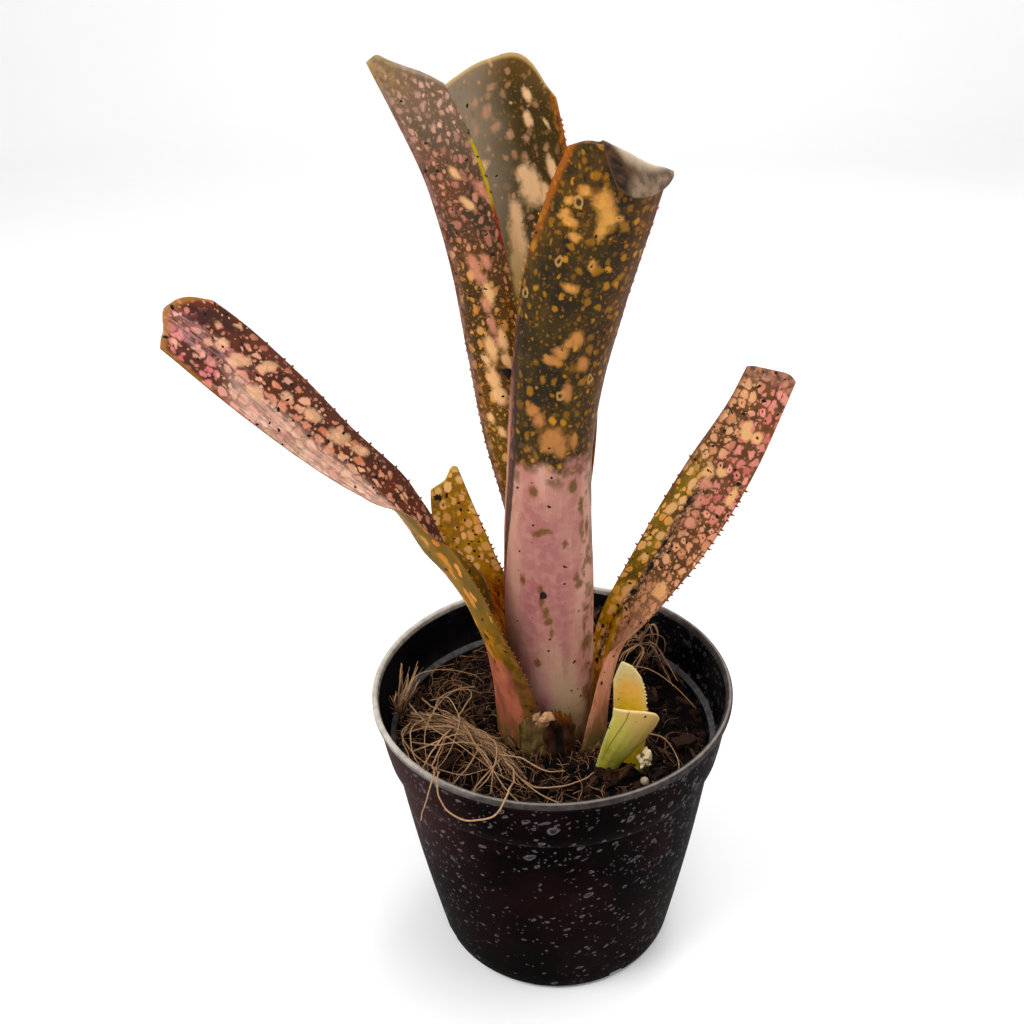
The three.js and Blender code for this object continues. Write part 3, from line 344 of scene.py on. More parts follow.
class Shader:
    def __init__(self, name):
        self.material = bpy.data.materials.new(name)
        self.material.use_nodes = True
        self.tree = self.material.node_tree
        self.surface = self.tree.nodes["Principled BSDF"]

    def put(self, socket, value):
        if isinstance(value, bpy.types.NodeSocket):
            self.tree.links.new(value, socket)
        elif value is not None:
            if socket.type == "RGBA" and len(value) == 3:
                value = (*value, 1)
            socket.default_value = value

    def node(self, kind, inputs=(), output=0, **settings):
        made = self.tree.nodes.new("ShaderNode" + kind)
        for key, value in settings.items():
            setattr(made, key, value)
        for key, value in dict(inputs).items():
            self.put(made.inputs[key], value)
        return made.outputs[output]

    def number(self, name):
        return self.node("Attribute", attribute_name=name, output="Fac")

    def vector(self, name):
        return self.node("Attribute", attribute_name=name, output="Vector")

    def math(self, operation, a, b=None, c=None, clamp=False):
        values = [(i, v) for i, v in enumerate((a, b, c)) if v is not None]
        return self.node("Math", values, operation=operation, use_clamp=clamp)

    def times(self, a, b):
        return self.math("MULTIPLY", a, b)

    def plus(self, a, b):
        return self.math("ADD", a, b)

    def scaled(self, vector, scale):
        return self.node("VectorMath", {0: vector, 1: scale}, operation="MULTIPLY")

    def moved(self, vector, other):
        return self.node("VectorMath", {0: vector, 1: other}, operation="ADD")

    def step(self, value, low, high, bottom=0.0, top=1.0):
        inputs = {"Value": value, "From Min": low, "From Max": high, "To Min": bottom, "To Max": top}
        return self.node("MapRange", inputs, interpolation_type="SMOOTHSTEP")

    def noise(self, vector, scale, detail=2.0, roughness=0.5):
        inputs = {"Vector": vector, "Scale": scale, "Detail": detail, "Roughness": roughness}
        return self.node("TexNoise", inputs, output="Fac")

    def noise_vector(self, vector, scale, detail=2.0):
        inputs = {"Vector": vector, "Scale": scale, "Detail": detail}
        return self.node("TexNoise", inputs, output="Color")

    def cells(self, vector, flat=False, randomness=1.0):
        inputs = {"Vector": vector, "Scale": 1.0, "Randomness": randomness}
        dimensions = "2D" if flat else "3D"
        distance = self.node("TexVoronoi", inputs, output="Distance", voronoi_dimensions=dimensions)
        return distance, distance.node.outputs["Color"]

    def cell_edges(self, vector, randomness=1.0):
        inputs = {"Vector": vector, "Scale": 1.0, "Randomness": randomness}
        settings = dict(voronoi_dimensions="2D", feature="DISTANCE_TO_EDGE")
        return self.node("TexVoronoi", inputs, output="Distance", **settings)

    def mix(self, share, a, b):
        made = self.tree.nodes.new("ShaderNodeMix")
        made.data_type = "RGBA"
        for index, value in ((0, share), (6, a), (7, b)):
            self.put(made.inputs[index], value)
        return made.outputs[2]

    def red(self, colour):
        return self.node("SeparateColor", {"Color": colour}, output="Red")

    def green(self, colour):
        return self.node("SeparateColor", {"Color": colour}, output="Green")

    def blue(self, colour):
        return self.node("SeparateColor", {"Color": colour}, output="Blue")

    def axis(self, vector, name):
        return self.node("SeparateXYZ", {"Vector": vector}, output=name)

    def finish(self, colour, roughness, height=None, bump=0.4, reach=0.3):
        self.put(self.surface.inputs["Base Color"], colour)
        self.put(self.surface.inputs["Roughness"], roughness)
        if height is not None:
            inputs = {"Strength": bump, "Distance": reach * MM, "Height": height}
            self.put(self.surface.inputs["Normal"], self.node("Bump", inputs))
        return self.material


# Meshes

def add_mesh(name, points, faces, materials, smooth=True, face_material=None, **attributes):
    mesh = bpy.data.meshes.new(name)
    mesh.from_pydata((np.asarray(points, float) * MM).tolist(), [], [tuple(f) for f in faces])
    for material in materials:
        mesh.materials.append(material)
    if face_material is not None:
        mesh.polygons.foreach_set("material_index", np.asarray(face_material, dtype=np.int32))
    for key, values in attributes.items():
        values = np.asarray(values, float)
        if values.ndim == 1:
            layer = mesh.attributes.new(key, "FLOAT", "POINT")
            layer.data.foreach_set("value", values)
        else:
            layer = mesh.attributes.new(key, "FLOAT_VECTOR", "POINT")
            layer.data.foreach_set("vector", values.ravel())
    mesh.polygons.foreach_set("use_smooth", np.full(len(mesh.polygons), smooth))
    mesh.update()
    made = bpy.data.objects.new(name, mesh)
    bpy.context.scene.collection.objects.link(made)
    return made


class Soup:
    """Collects many small meshes into one."""

    def __init__(self):
        self.points = []
        self.faces = []
        self.tone = []
        self.count = 0

    def add(self, points, faces, tone):
        points = np.asarray(points, float)
        self.points.append(points)
        self.faces.extend([tuple(i + self.count for i in f) for f in faces])
        self.tone.append(np.full(len(points), tone))
        self.count += len(points)

    def build(self, name, material, smooth=True):
        points = np.concatenate(self.points)
        tone = np.concatenate(self.tone)
        return add_mesh(name, points, self.faces, [material], smooth, tone=tone)


def tube(points, radii, sides=5):
    """Points and faces of a rod along points, closed at both ends."""
    points = np.asarray(points, float)
    along = np.gradient(points, axis=0)
    along /= np.linalg.norm(along, axis=1)[:, None] + 1e-9
    reference = np.array((0.31, 0.2, 0.93))
    side = np.cross(along, reference)
    side /= np.linalg.norm(side, axis=1)[:, None] + 1e-9
    lift = np.cross(side, along)
    angles = np.arange(sides) / sides * 2 * np.pi
    radii = np.broadcast_to(radii, len(points))[:, None, None]
    ring = np.cos(angles)[None, :, None] * side[:, None] + np.sin(angles)[None, :, None] * lift[:, None]
    rings = points[:, None] + ring * radii
    faces = []
    for i in range(len(points) - 1):
        for j in range(sides):
            k = (j + 1) % sides
            faces.append((i * sides + j, i * sides + k, (i + 1) * sides + k, (i + 1) * sides + j))
    faces.append(tuple(range(sides - 1, -1, -1)))
    last = (len(points) - 1) * sides
    faces.append(tuple(range(last, last + sides)))
    return rings.reshape(-1, 3), faces


def smooth_path(points, count):
    """Catmull-Rom points along a list of hand-chosen ones."""
    points = np.asarray(points, float)
    padded = np.vstack([2 * points[0] - points[1], points, 2 * points[-1] - points[-2]])
    made = []
    for t in np.linspace(0, len(points) - 1, count):
        i = min(int(t), len(points) - 2)
        f = t - i
        a, b, c, d = padded[i:i + 4]
        made.append(0.5 * (2 * b + (c - a) * f + (2 * a - 5 * b + 4 * c - d) * f * f
                           + (3 * b - a - 3 * c + d) * f ** 3))
    return np.array(made)


# Leaves

def station_curve(rows):
    rows = np.asarray(rows, float)
    at = np.concatenate([[0], np.cumsum(np.linalg.norm(np.diff(rows[:, :3], axis=0), axis=1))])
    slope = np.empty_like(rows)
    secant = np.diff(rows, axis=0) / np.diff(at)[:, None]
    slope[0], slope[-1] = secant[0], secant[-1]
    h = np.diff(at)[:, None]
    slope[1:-1] = (secant[:-1] * h[1:] + secant[1:] * h[:-1]) / (h[:-1] + h[1:])

    def sample(s):
        i = np.clip(np.searchsorted(at, s, side="right") - 1, 0, len(at) - 2)
        h = (at[i + 1] - at[i])[..., None]
        t = (s - at[i])[..., None] / h
        p, q, m, n = rows[i], rows[i + 1], slope[i] * h, slope[i + 1] * h
        value = ((2 * t ** 3 - 3 * t ** 2 + 1) * p + (t ** 3 - 2 * t ** 2 + t) * m
                 + (3 * t ** 2 - 2 * t ** 3) * q + (t ** 3 - t ** 2) * n)
        change = ((6 * t ** 2 - 6 * t) * p + (3 * t ** 2 - 4 * t + 1) * m
                  + (6 * t - 6 * t ** 2) * q + (3 * t ** 2 - 2 * t) * n) / h
        return value, change
    return at[-1], sample


def unit(v):
    return v / (np.linalg.norm(v, axis=-1, keepdims=True) + 1e-12)


def section(u, left, right, fold):
    curl = np.radians(np.where(u >= 0, right, left))
    m = np.abs(u)
    side = np.where(u >= 0, 1, -1)
    q = (np.arange(24) + 0.5) / 24 * m[..., None]
    turn = curl[..., None] * ((1 - fold[..., None]) * q + fold[..., None] * np.minimum(1, q / 0.2))
    across = np.cos(turn).mean(-1) * m
    inward = np.sin(turn).mean(-1) * m
    end = curl * ((1 - fold) * m + fold * np.minimum(1, m / 0.2))
    return side * across, inward, side * end


def smooth_nine(values, u):
    """A smooth curve through nine values from the left margin to the right one."""
    at = (u + 1) * 4
    i = np.clip(np.floor(at).astype(int), 0, 7)
    f = at - i
    padded = np.concatenate([[2 * values[0] - values[1]], values, [2 * values[-1] - values[-2]]])
    a, b, c, d = padded[i], padded[i + 1], padded[i + 2], padded[i + 3]
    curve = 2 * b + (c - a) * f + (2 * a - 5 * b + 4 * c - d) * f * f + (3 * b - a - 3 * c + d) * f ** 3
    return 0.5 * curve


def leaf_surface(leaf, u, v):
    """Point, outward normal and direction to the tip of the leaf's middle surface."""
    length, sample = station_curve(leaf["stations"])
    folded = leaf.get("fold_over")
    share = FOLD_SHARE if folded else 1
    body = np.minimum(v / share, 1)
    short = smooth_nine(leaf["tip"], u)
    s = body * (length - short * body ** 3)
    value, change = sample(s)
    along = unit(change[..., :3])
    angle = math.radians(leaf["heading"])
    heading = np.array((math.cos(angle), math.sin(angle), 0))
    facing = unit(heading - (along @ heading)[..., None] * along)
    side = np.cross(along, facing)
    twist = np.radians(value[..., 4])[..., None]
    out = np.cos(twist) * facing + np.sin(twist) * side
    across = np.cross(along, out)
    sx, sn, turn = section(u, value[..., 5], value[..., 6], value[..., 7])
    half = value[..., 3] / 2
    point = value[..., :3] + across * (half * sx)[..., None] - out * (half * sn)[..., None]
    normal = np.cos(turn)[..., None] * out + np.sin(turn)[..., None] * across
    q = np.zeros_like(u)
    if folded:
        q = np.clip((v - share) / (1 - share), 0, 1) * np.interp(u, np.linspace(-1, 1, 9), folded["hang"])
        bend = np.minimum(q / folded["radius"], math.radians(folded["angle"]))
        rest = (q - bend * folded["radius"])[..., None]
        cos, sin = np.cos(bend)[..., None], np.sin(bend)[..., None]
        point = point + folded["radius"] * (sin * along + (1 - cos) * normal)
        point = point + rest * (cos * along + sin * normal)
        normal = cos * normal - sin * along
    return point, normal, along, s + q, half * u


def leaf_mesh(name, leaf, columns=36, row_step=1.3, wobble=0.25, crumple=0.0, torn=0.0):
    """A thick, slightly uneven blade, and where each vertex is on the leaf."""
    length, _ = station_curve(leaf["stations"])
    folded = leaf.get("fold_over")
    share = FOLD_SHARE if folded else 1
    rows = np.linspace(0, share, int(length / row_step))
    if folded:
        rows = np.concatenate([rows, np.linspace(share, 1, 26)[1:]])
    edge = np.linspace(-1, 1, columns + 1)
    u_line = np.sign(edge) * (1 - (1 - np.abs(edge)) ** 1.15)
    v, u = np.meshgrid(rows, u_line, indexing="ij")
    if torn:
        ends = np.array([abs(noise.noise(Vector((x * 4, 3.1, 0)))) for x in u_line])
        sides = np.array([[noise.noise(Vector((y * 9, side, 7))) for side in (-2, 2)] for y in rows])
        v = v * (1 - torn * ends)
        u = u * (1 - torn * np.where(u < 0, np.abs(sides[:, :1]), np.abs(sides[:, 1:])))
    point, normal, along, s, across = leaf_surface(leaf, u, v)
    seed = sum(map(ord, name)) % 50
    dent = np.array([
        noise.noise(Vector((a * 0.16 + seed, b * 0.035, seed)))
        + 0.4 * noise.noise(Vector((a * 0.5, b * 0.1 + seed, seed)))
        for a, b in zip(across.ravel(), s.ravel())
    ]).reshape(u.shape)
    folds = np.array([
        noise.noise(Vector((a * 0.35, b * 0.22, seed))) for a, b in zip(across.ravel(), s.ravel())
    ]).reshape(u.shape)
    point = point + normal * (dent * wobble + folds * crumple)[..., None]
    thick = LEAF_BASE_THICKNESS + (LEAF_TIP_THICKNESS - LEAF_BASE_THICKNESS) * v
    thick = thick * (1 - EDGE_THINNING * np.abs(u) ** 8)
    thick = thick * (1 - 0.5 * np.clip((v - 0.985) / 0.015, 0, 1))
    half = (thick / 2)[..., None]
    outer, inner = point + normal * half, point - normal * half
    n1, n2 = u.shape
    count = n1 * n2
    index = np.arange(count).reshape(n1, n2)
    a, b, c, d = index[:-1, :-1], index[:-1, 1:], index[1:, 1:], index[1:, :-1]
    faces = np.stack([a, b, c, d], -1).reshape(-1, 4).tolist()
    faces += (np.stack([a, d, c, b], -1).reshape(-1, 4) + count).tolist()
    left, right, low, high = index[:, 0], index[:, -1], index[0], index[-1]
    for i in range(n1 - 1):
        faces.append((left[i] + count, left[i], left[i + 1], left[i + 1] + count))
        faces.append((right[i], right[i] + count, right[i + 1] + count, right[i + 1]))
    for j in range(n2 - 1):
        faces.append((low[j] + count, low[j + 1] + count, low[j + 1], low[j]))
        faces.append((high[j], high[j + 1], high[j + 1] + count, high[j] + count))
    flat = np.stack([across, s, np.zeros_like(s)], -1).reshape(-1, 3)
    both = np.vstack([flat, flat + INNER_SHIFT])
    facts = dict(
        flat=both,
        leaf_u=np.tile(u.ravel(), 2),
        leaf_v=np.tile(np.minimum(v.ravel() / share, 1), 2),
        inside=np.repeat((0.0, 1.0), count),
        past_fold=np.tile(np.clip((v.ravel() - share) / (1.001 - share), 0, 1), 2),
        spine=np.zeros(2 * count),
    )
    half_width = np.abs(across / np.where(np.abs(u) < 0.01, np.inf, u)).max(axis=1, keepdims=True)
    body_length = s[min(len(rows) - 1, int(length / row_step) - 1)][None, :]
    for kind in ("pale", "dark", "pink", "black"):
        marks = MARKS.get(name, {}).get(kind, [])
        field = mark_field(marks, across, np.minimum(s, body_length), body_length, half_width)
        facts[kind] = np.tile(field.ravel(), 2)
    return np.vstack([outer.reshape(-1, 3), inner.reshape(-1, 3)]), faces, facts


def spine_mesh(leaf, start):
    """Hooked margin spines pointing to the tip."""
    share = FOLD_SHARE if leaf.get("fold_over") else 1
    length, _ = station_curve(leaf["stations"])
    points, faces, tips, where = [], [], [], []
    for side, low, high, spacing in leaf["spines"]:
        count = int((high - low) * length / spacing)
        for i in range(count):
            v = np.array([(low + (high - low) * (i + rng.uniform(-0.25, 0.25)) / count) * share])
            u = np.array([float(side)])
            point, normal, along, s, across = leaf_surface(leaf, u, v)
            inner = leaf_surface(leaf, u * 0.93, v)[0]
            outward = unit(point - inner)[0]
            point, normal, along = point[0], normal[0], along[0]
            size = rng.uniform(0.5, 0.85) * leaf.get("spine_size", 1)
            path = [point - outward * 0.5, point + outward * 0.45 * size + along * 0.1,
                    point + outward * 0.95 * size + along * 0.45 * size,
                    point + outward * 1.2 * size + along * 1.0 * size]
            for j, (centre, radius) in enumerate(zip(path, (0.42, 0.3, 0.17, 0.03))):
                for k in range(5):
                    angle = k / 5 * 2 * math.pi
                    ring = along * math.cos(angle) * radius * 1.3 + normal * math.sin(angle) * radius * 0.6
                    points.append(centre + ring)
                    tips.append(j / 3)
                    where.append((across[0], s[0], 0))
            base = start + len(points) - 20
            for j in range(3):
                for k in range(5):
                    m = (k + 1) % 5
                    faces.append((base + j * 5 + k, base + j * 5 + m, base + j * 5 + 5 + m,
                                  base + j * 5 + 5 + k))
            faces.append(tuple(base + 15 + k for k in range(5)))
    return points, faces, tips, where


def make_leaf(name, material, **options):
    leaf = LEAVES[name]
    points, faces, facts = leaf_mesh(name, leaf, **options)
    blade_faces = len(faces)
    more, spine_faces, tips, where = spine_mesh(leaf, len(points))
    if more:
        count = len(more)
        points = np.vstack([points, more])
        faces = faces + spine_faces
        facts["flat"] = np.vstack([facts["flat"], where])
        facts["leaf_u"] = np.concatenate([facts["leaf_u"], np.ones(count)])
        facts["leaf_v"] = np.concatenate([facts["leaf_v"], np.ones(count)])
        facts["inside"] = np.concatenate([facts["inside"], np.zeros(count)])
        facts["past_fold"] = np.concatenate([facts["past_fold"], np.zeros(count)])
        facts["spine"] = np.concatenate([facts["spine"], 0.3 + 0.7 * np.array(tips)])
        for kind in ("pale", "dark", "pink", "black"):
            facts[kind] = np.concatenate([facts[kind], np.full(count, -1.0)])
    made = add_mesh(name + "_blade", points, faces, [material], **facts)
    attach(made, "root")
    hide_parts(name)
    return made


# Colours, as they look in even light
def srgb(red, green, blue):
    def linear(c):
        c /= 255
        return c / 12.92 if c <= 0.04045 else ((c + 0.055) / 1.055) ** 2.4
    return (linear(red), linear(green), linear(blue))


OLIVE = srgb(76, 58, 14)
OLIVE_DARK = srgb(42, 34, 10)
OLIVE_BRIGHT = srgb(138, 104, 28)
OLIVE_GREY = srgb(86, 74, 50)
BROWN = srgb(78, 36, 20)
BROWN_DARK = srgb(46, 24, 14)
CREAM = srgb(222, 184, 138)
CREAM_ORANGE = srgb(222, 158, 92)
ORANGE = srgb(198, 120, 48)
SALMON = srgb(200, 142, 118)
PINK = srgb(196, 118, 108)
MAUVE = srgb(164, 106, 98)
MAUVE_LIGHT = srgb(184, 136, 118)
MAUVE_DEEP = srgb(136, 78, 78)
GREY_GREEN = srgb(140, 122, 84)
YELLOW = srgb(200, 170, 60)
BLACK = srgb(22, 14, 12)
SPINE_ROOT = srgb(104, 46, 26)
SPINE_TIP = srgb(188, 112, 54)


# Leaf markings

EVENNESS = 0.78


def cell_place(m, place, size, shift, stretch=1.0):
    return m.scaled(m.moved(place, (shift, shift * 0.7, 0)), (1 / size, 1 / (size * stretch), 1))


def dabs(m, base, place, size, light, dark, strength=1.0, amount=1.0, shift=0, low=0.14, spread=0.25,
         stretch=1.2, soft=0.5, faint=0.3, gap=0.0):
    """Roundish spots over base, in cells of a size in mm, each of its own size, strength and tint.

    With a gap, spots that would meet are kept apart by a line of the base.
    """
    where = cell_place(m, place, size, shift, stretch)
    distance, colour = m.cells(where, True, EVENNESS)
    radius = m.times(m.math("MULTIPLY_ADD", m.red(colour), spread, low), amount)
    power = m.math("MULTIPLY_ADD", m.green(colour), 1 - faint, faint)
    share = m.times(m.step(distance, m.times(radius, 1 - soft), radius, 1.0, 0.0), m.times(power, strength))
    if gap:
        share = m.times(share, m.step(m.cell_edges(where, EVENNESS), 0.0, gap))
    return m.mix(share, base, m.mix(m.blue(colour), light, dark))


def flecks(m, place, size, share, shift, low=0.1, spread=0.3, soft=0.15, hollow=0.0):
    """Marks in a share of the cells. share may be a socket. hollow fades their middle, as in a dried drop."""
    distance, colour = m.cells(m.scaled(m.moved(place, (shift, shift * 0.7, 0)), (1 / size,) * 3))
    chosen = m.math("LESS_THAN", m.red(colour), share)
    radius = m.math("MULTIPLY_ADD", m.green(colour), spread, low)
    body = m.step(distance, m.times(radius, 1 - soft), radius, 1.0, 0.0)
    if hollow:
        body = m.times(body, m.step(distance, m.times(radius, 0.3), m.times(radius, 0.8), 1 - hollow, 1.0))
    return m.times(chosen, body)


def specks(m, place, size, shift=0, rare=0.75, radius=0.12):
    """Small dark dots, in few of the cells."""
    distance, colour = m.cells(cell_place(m, place, size, shift), True)
    chosen = m.math("GREATER_THAN", m.red(colour), rare)
    width = m.math("MULTIPLY_ADD", m.green(colour), radius, radius * 0.4)
    return m.times(chosen, m.math("LESS_THAN", distance, width))


def ring_spots(m, place, size, shift, rare=0.82):
    """A few pale rings with a dark middle."""
    distance, colour = m.cells(cell_place(m, place, size, shift, 1.2), True)
    ring = m.times(m.step(distance, 0.06, 0.11), m.step(distance, 0.2, 0.14))
    return m.times(ring, m.math("GREATER_THAN", m.red(colour), rare))


def cracks(m, place, size, stretch, width, share):
    """Thin dark branching lines, in a share of the surface."""
    distance = m.cell_edges(cell_place(m, place, size, 7, stretch))
    where = m.step(m.noise(place, 0.16, 2.0), share, share + 0.08)
    return m.times(m.step(distance, width, 0.0), where)


def blend(m, place, scale, a, b, stretch=1.0, low=0.38, high=0.62):
    """Two colours in cloudy patches."""
    cloud = m.noise(m.scaled(place, (scale, scale / stretch, scale)), 1.0, 3.0, 0.55)
    return m.mix(m.step(cloud, low, high), a, b)


def patch(m, place, scale, low, high, stretch=1.0, detail=3.0):
    """Where a cloud is thick: 0 below low, 1 above high."""
    return m.step(m.noise(m.scaled(place, (scale, scale / stretch, scale)), 1.0, detail, 0.55), low, high)


def mark(m, place, name, reach=0.3, rough=0.9):
    """Listed marks from a vertex attribute, their edges broken up by noise."""
    cloud = m.noise(place, 0.5, 2.0, 0.55)
    return m.step(m.plus(m.number(name), m.math("MULTIPLY_ADD", cloud, rough, -0.5 * rough)), -reach, reach)


def band(m, value, low, high, soft):
    """1 between low and high, fading over soft."""
    return m.times(m.step(value, low - soft, low), m.step(value, high, high + soft, 1.0, 0.0))


def ragged(m, place, value, scale, reach):
    cloud = m.noise(place, scale, 3.0, 0.55)
    return m.plus(value, m.math("MULTIPLY_ADD", cloud, 2 * reach, -reach))


def streaks(m, low=0.42, high=0.6, width=1.1):
    """Fine lines along the leaf, as strength from 0 to 1."""
    return m.step(m.noise(m.scaled(m.vector("flat"), (width, 0.1, 1)), 1.0, 4.0, 0.65), low, high)


def leaf_material(name, paint, gloss=0.4, spine_colours=(SPINE_ROOT, SPINE_TIP), vein=0.14):
    """A blade. paint gives its colour; the fine veins, spines and waxy relief are common to all."""
    m = Shader(name)
    place = m.vector("flat")
    u, v = m.number("leaf_u"), m.number("leaf_v")
    wave = m.scaled(m.moved(m.noise_vector(place, 0.25, 2.0), (-0.5, -0.5, -0.5)), (3.0, 3.0, 0))
    ripple = m.scaled(m.moved(m.noise_vector(place, 1.1, 2.0), (-0.5, -0.5, -0.5)), (0.55, 0.55, 0))
    warped = m.moved(m.moved(place, wave), ripple)
    colour = paint(m, warped, u, v)
    lines = m.noise(m.scaled(place, (2.4, 0.03, 1)), 1.0, 3.0, 0.65)
    colour = m.node("HueSaturation", {"Saturation": 1.12, "Value": 0.97, "Color": colour}, output="Color")
    grain = m.noise(place, 3.2, 3.0, 0.7)
    shade = m.plus(m.step(lines, 0.32, 0.68, 0.0, vein), m.step(grain, 0.35, 0.7, 0.0, 0.16))
    colour = m.mix(shade, colour, m.scaled(colour, (0.42, 0.4, 0.4)))
    worn = m.times(m.step(m.math("ABSOLUTE", u), 0.955, 0.995), m.step(m.noise(place, 0.4, 2.0), 0.3, 0.6))
    colour = m.mix(m.times(worn, 0.55), colour, srgb(120, 70, 42))
    spine = m.number("spine")
    colour = m.mix(m.step(spine, 0.05, 0.3), colour, m.mix(m.step(spine, 0.4, 1.0), *spine_colours))
    height = m.plus(m.times(lines, 0.55), m.times(grain, 0.25))
    rough = m.math("MULTIPLY_ADD", grain, 0.3, gloss)
    m.put(m.surface.inputs["Specular IOR Level"], 0.15)
    return m.finish(colour, rough, height, 0.4, 0.3)


def paint_front(m, place, u, v):
    """Olive with soft tan spots above, mauve with olive islands below."""
    olive = blend(m, place, 0.09, srgb(32, 25, 4), srgb(58, 44, 7), 1.6)
    olive = m.mix(m.times(m.step(u, 0.25, 0.85), 0.6), olive, srgb(92, 54, 12))
    corner = m.times(m.step(v, 0.82, 0.92), m.step(u, 0.3, -0.5))
    olive = m.mix(m.times(corner, patch(m, place, 0.28, 0.36, 0.56)), olive, srgb(78, 53, 1))
    rusty = m.times(corner, m.step(ragged(m, place, u, 0.4, 0.06), -0.8, -0.93))
    olive = m.mix(m.times(rusty, 0.8), olive, srgb(170, 92, 30))
    veil = m.step(m.noise(place, 0.05, 2.0), 0.35, 0.6, 0.75, 1.15)
    right = m.step(u, -0.3, 0.7)
    haze = m.times(patch(m, place, 0.16, 0.5, 0.72), 0.3)
    olive = m.mix(haze, olive, srgb(110, 80, 34))
    warm = m.mix(right, srgb(170, 120, 60), srgb(200, 128, 48))
    olive = dabs(m, olive, place, 1.5, warm, srgb(128, 88, 34), 0.42, m.step(u, -0.6, 0.8, 0.7, 1.2), 67, 0.1)
    olive = dabs(m, olive, place, 2.4, warm, srgb(150, 104, 48), 0.68, m.step(u, -0.4, 0.7, 0.85, 1.25), 31,
                 0.1, 0.26, 1.3, 0.6)
    olive = dabs(m, olive, place, 3.8, srgb(212, 158, 94), srgb(160, 112, 54), 0.92, veil, 0, 0.1, 0.28,
                 1.3, 0.6, 0.2)
    olive = dabs(m, olive, place, 3.0, srgb(204, 130, 50), srgb(158, 104, 26), m.times(corner, 0.8), 0.75, 83,
                 0.14, 0.24)
    olive = m.mix(m.times(ring_spots(m, place, 8.0, 23, 0.86), 0.75), olive, srgb(200, 162, 118))
    pale = mark(m, place, "pale", 0.55, 1.1)
    light = m.mix(m.step(v, 0.66, 0.9), srgb(194, 140, 102), srgb(240, 184, 124))
    light = m.mix(m.times(patch(m, place, 0.4, 0.4, 0.6), 0.45), light, srgb(206, 142, 112))
    olive = m.mix(m.times(pale, 0.86), olive, light)
    olive = m.scaled(olive, (0.88, 0.84, 0.68))
    low = blend(m, place, 0.09, srgb(172, 118, 110), srgb(198, 153, 136), 3.0)
    rose = m.times(band(m, ragged(m, place, u, 0.1, 0.1), -0.3, 0.1, 0.3), band(m, v, 0.1, 0.44, 0.1))
    low = m.mix(m.times(rose, 0.65), low, srgb(150, 94, 96))
    # Painted shade: the mauve is darker towards the right margin, where the blade curves away.
    low = m.mix(m.times(m.step(u, 0.55, 1.0), 0.45), low, srgb(150, 96, 86))
    low = m.mix(m.times(patch(m, place, 0.3, 0.45, 0.62), 0.2), low, srgb(206, 166, 146))
    green = m.times(m.step(v, 0.32, 0.1), patch(m, place, 0.09, 0.36, 0.54, 2.5, 2.0))
    low = m.mix(m.times(green, 0.8), low, srgb(192, 168, 130))
    violet = m.times(m.step(v, 0.26, 0.12), band(m, ragged(m, place, u, 0.14, 0.12), -0.6, -0.1, 0.2))
    low = m.mix(m.times(violet, 0.6), low, srgb(182, 124, 130))
    foot = m.times(m.step(v, 0.14, 0.02), patch(m, place, 0.22, 0.34, 0.52, 1.6))
    low = m.mix(m.times(foot, 0.85), low, srgb(112, 100, 58))
    isles = m.times(m.step(m.noise(place, 0.15, 2.0), m.step(v, 0.56, 0.46, 0.44, 0.6), 0.64), 0.85)
    low = m.mix(m.times(isles, m.step(v, 0.5, 0.54)), low, srgb(92, 66, 34))
    edge = m.times(band(m, ragged(m, place, u, 0.2, 0.12), 0.5, 0.9, 0.08), band(m, v, 0.12, 0.5, 0.04))
    low = m.mix(m.times(m.times(edge, patch(m, place, 0.24, 0.46, 0.6, 1.6)), 0.8), low, srgb(112, 82, 48))
    halo = mark(m, place, "dark", 0.75, 1.3)
    low = m.mix(m.times(m.step(halo, 0.05, 0.6), 0.4), low, srgb(140, 88, 66))
    low = m.mix(m.times(m.step(halo, 0.35, 0.9), 0.85), low, srgb(96, 72, 34))
    side = m.times(m.step(ragged(m, place, u, 0.3, 0.1), 0.66, 0.76), band(m, v, 0.38, 0.52, 0.03))
    side = m.times(side, patch(m, place, 0.25, 0.4, 0.55, 3.0))
    low = m.mix(m.times(side, 0.7), low, srgb(80, 62, 56))
    colour = m.mix(m.step(ragged(m, place, v, 0.2, 0.055), 0.53, 0.575), low, olive)
    low_edge = m.plus(m.step(v, 0.24, 0.5, -0.94, -0.68), m.step(v, 0.54, 0.74, 0.0, -0.2))
    inner_edge = m.math("SUBTRACT", ragged(m, place, u, 0.4, 0.025), low_edge)
    strip = m.times(m.step(inner_edge, 0.0, -0.03), m.step(v, 0.8, 0.72))
    mottled = blend(m, place, 0.7, srgb(58, 38, 28), srgb(128, 88, 72), 2.0, 0.46, 0.7)
    pink_rim = m.times(m.step(u, -0.82, -0.9), m.step(v, 0.7, 0.56))
    mottled = m.mix(pink_rim, mottled, srgb(196, 138, 120))
    colour = m.mix(m.times(strip, 0.95), colour, mottled)
    # Painted shade: a dark line along the inner edge of the rolled margin strip, where the margin folds over.
    crease = m.times(band(m, inner_edge, -0.02, 0.015, 0.025), m.step(v, 0.84, 0.74))
    colour = m.mix(m.times(crease, 0.85), colour, srgb(48, 28, 18))
    colour = m.mix(m.times(m.step(u, 0.9, 0.97), m.step(v, 0.5, 0.6)), colour, srgb(98, 46, 22))
    split = m.times(cracks(m, place, 11, 1.6, 0.02, 0.5), m.times(m.step(v, 0.19, 0.15), m.step(u, 0.3, 0.5)))
    colour = m.mix(m.times(split, 0.8), colour, srgb(60, 36, 26))
    dots = m.math("MAXIMUM", specks(m, place, 5.5, 11, 0.7, 0.07), mark(m, place, "black", 0.15))
    colour = m.mix(dots, colour, BLACK)
    past = m.number("past_fold")
    face = blend(m, place, 0.3, srgb(148, 124, 104), srgb(98, 82, 68))
    # Painted shade: the middle of the turned-over tip is painted dark as the shade in its hollow.
    hollow = m.times(m.step(past, 0.3, 0.55), band(m, ragged(m, place, u, 0.3, 0.08), -0.4, 0.1, 0.16))
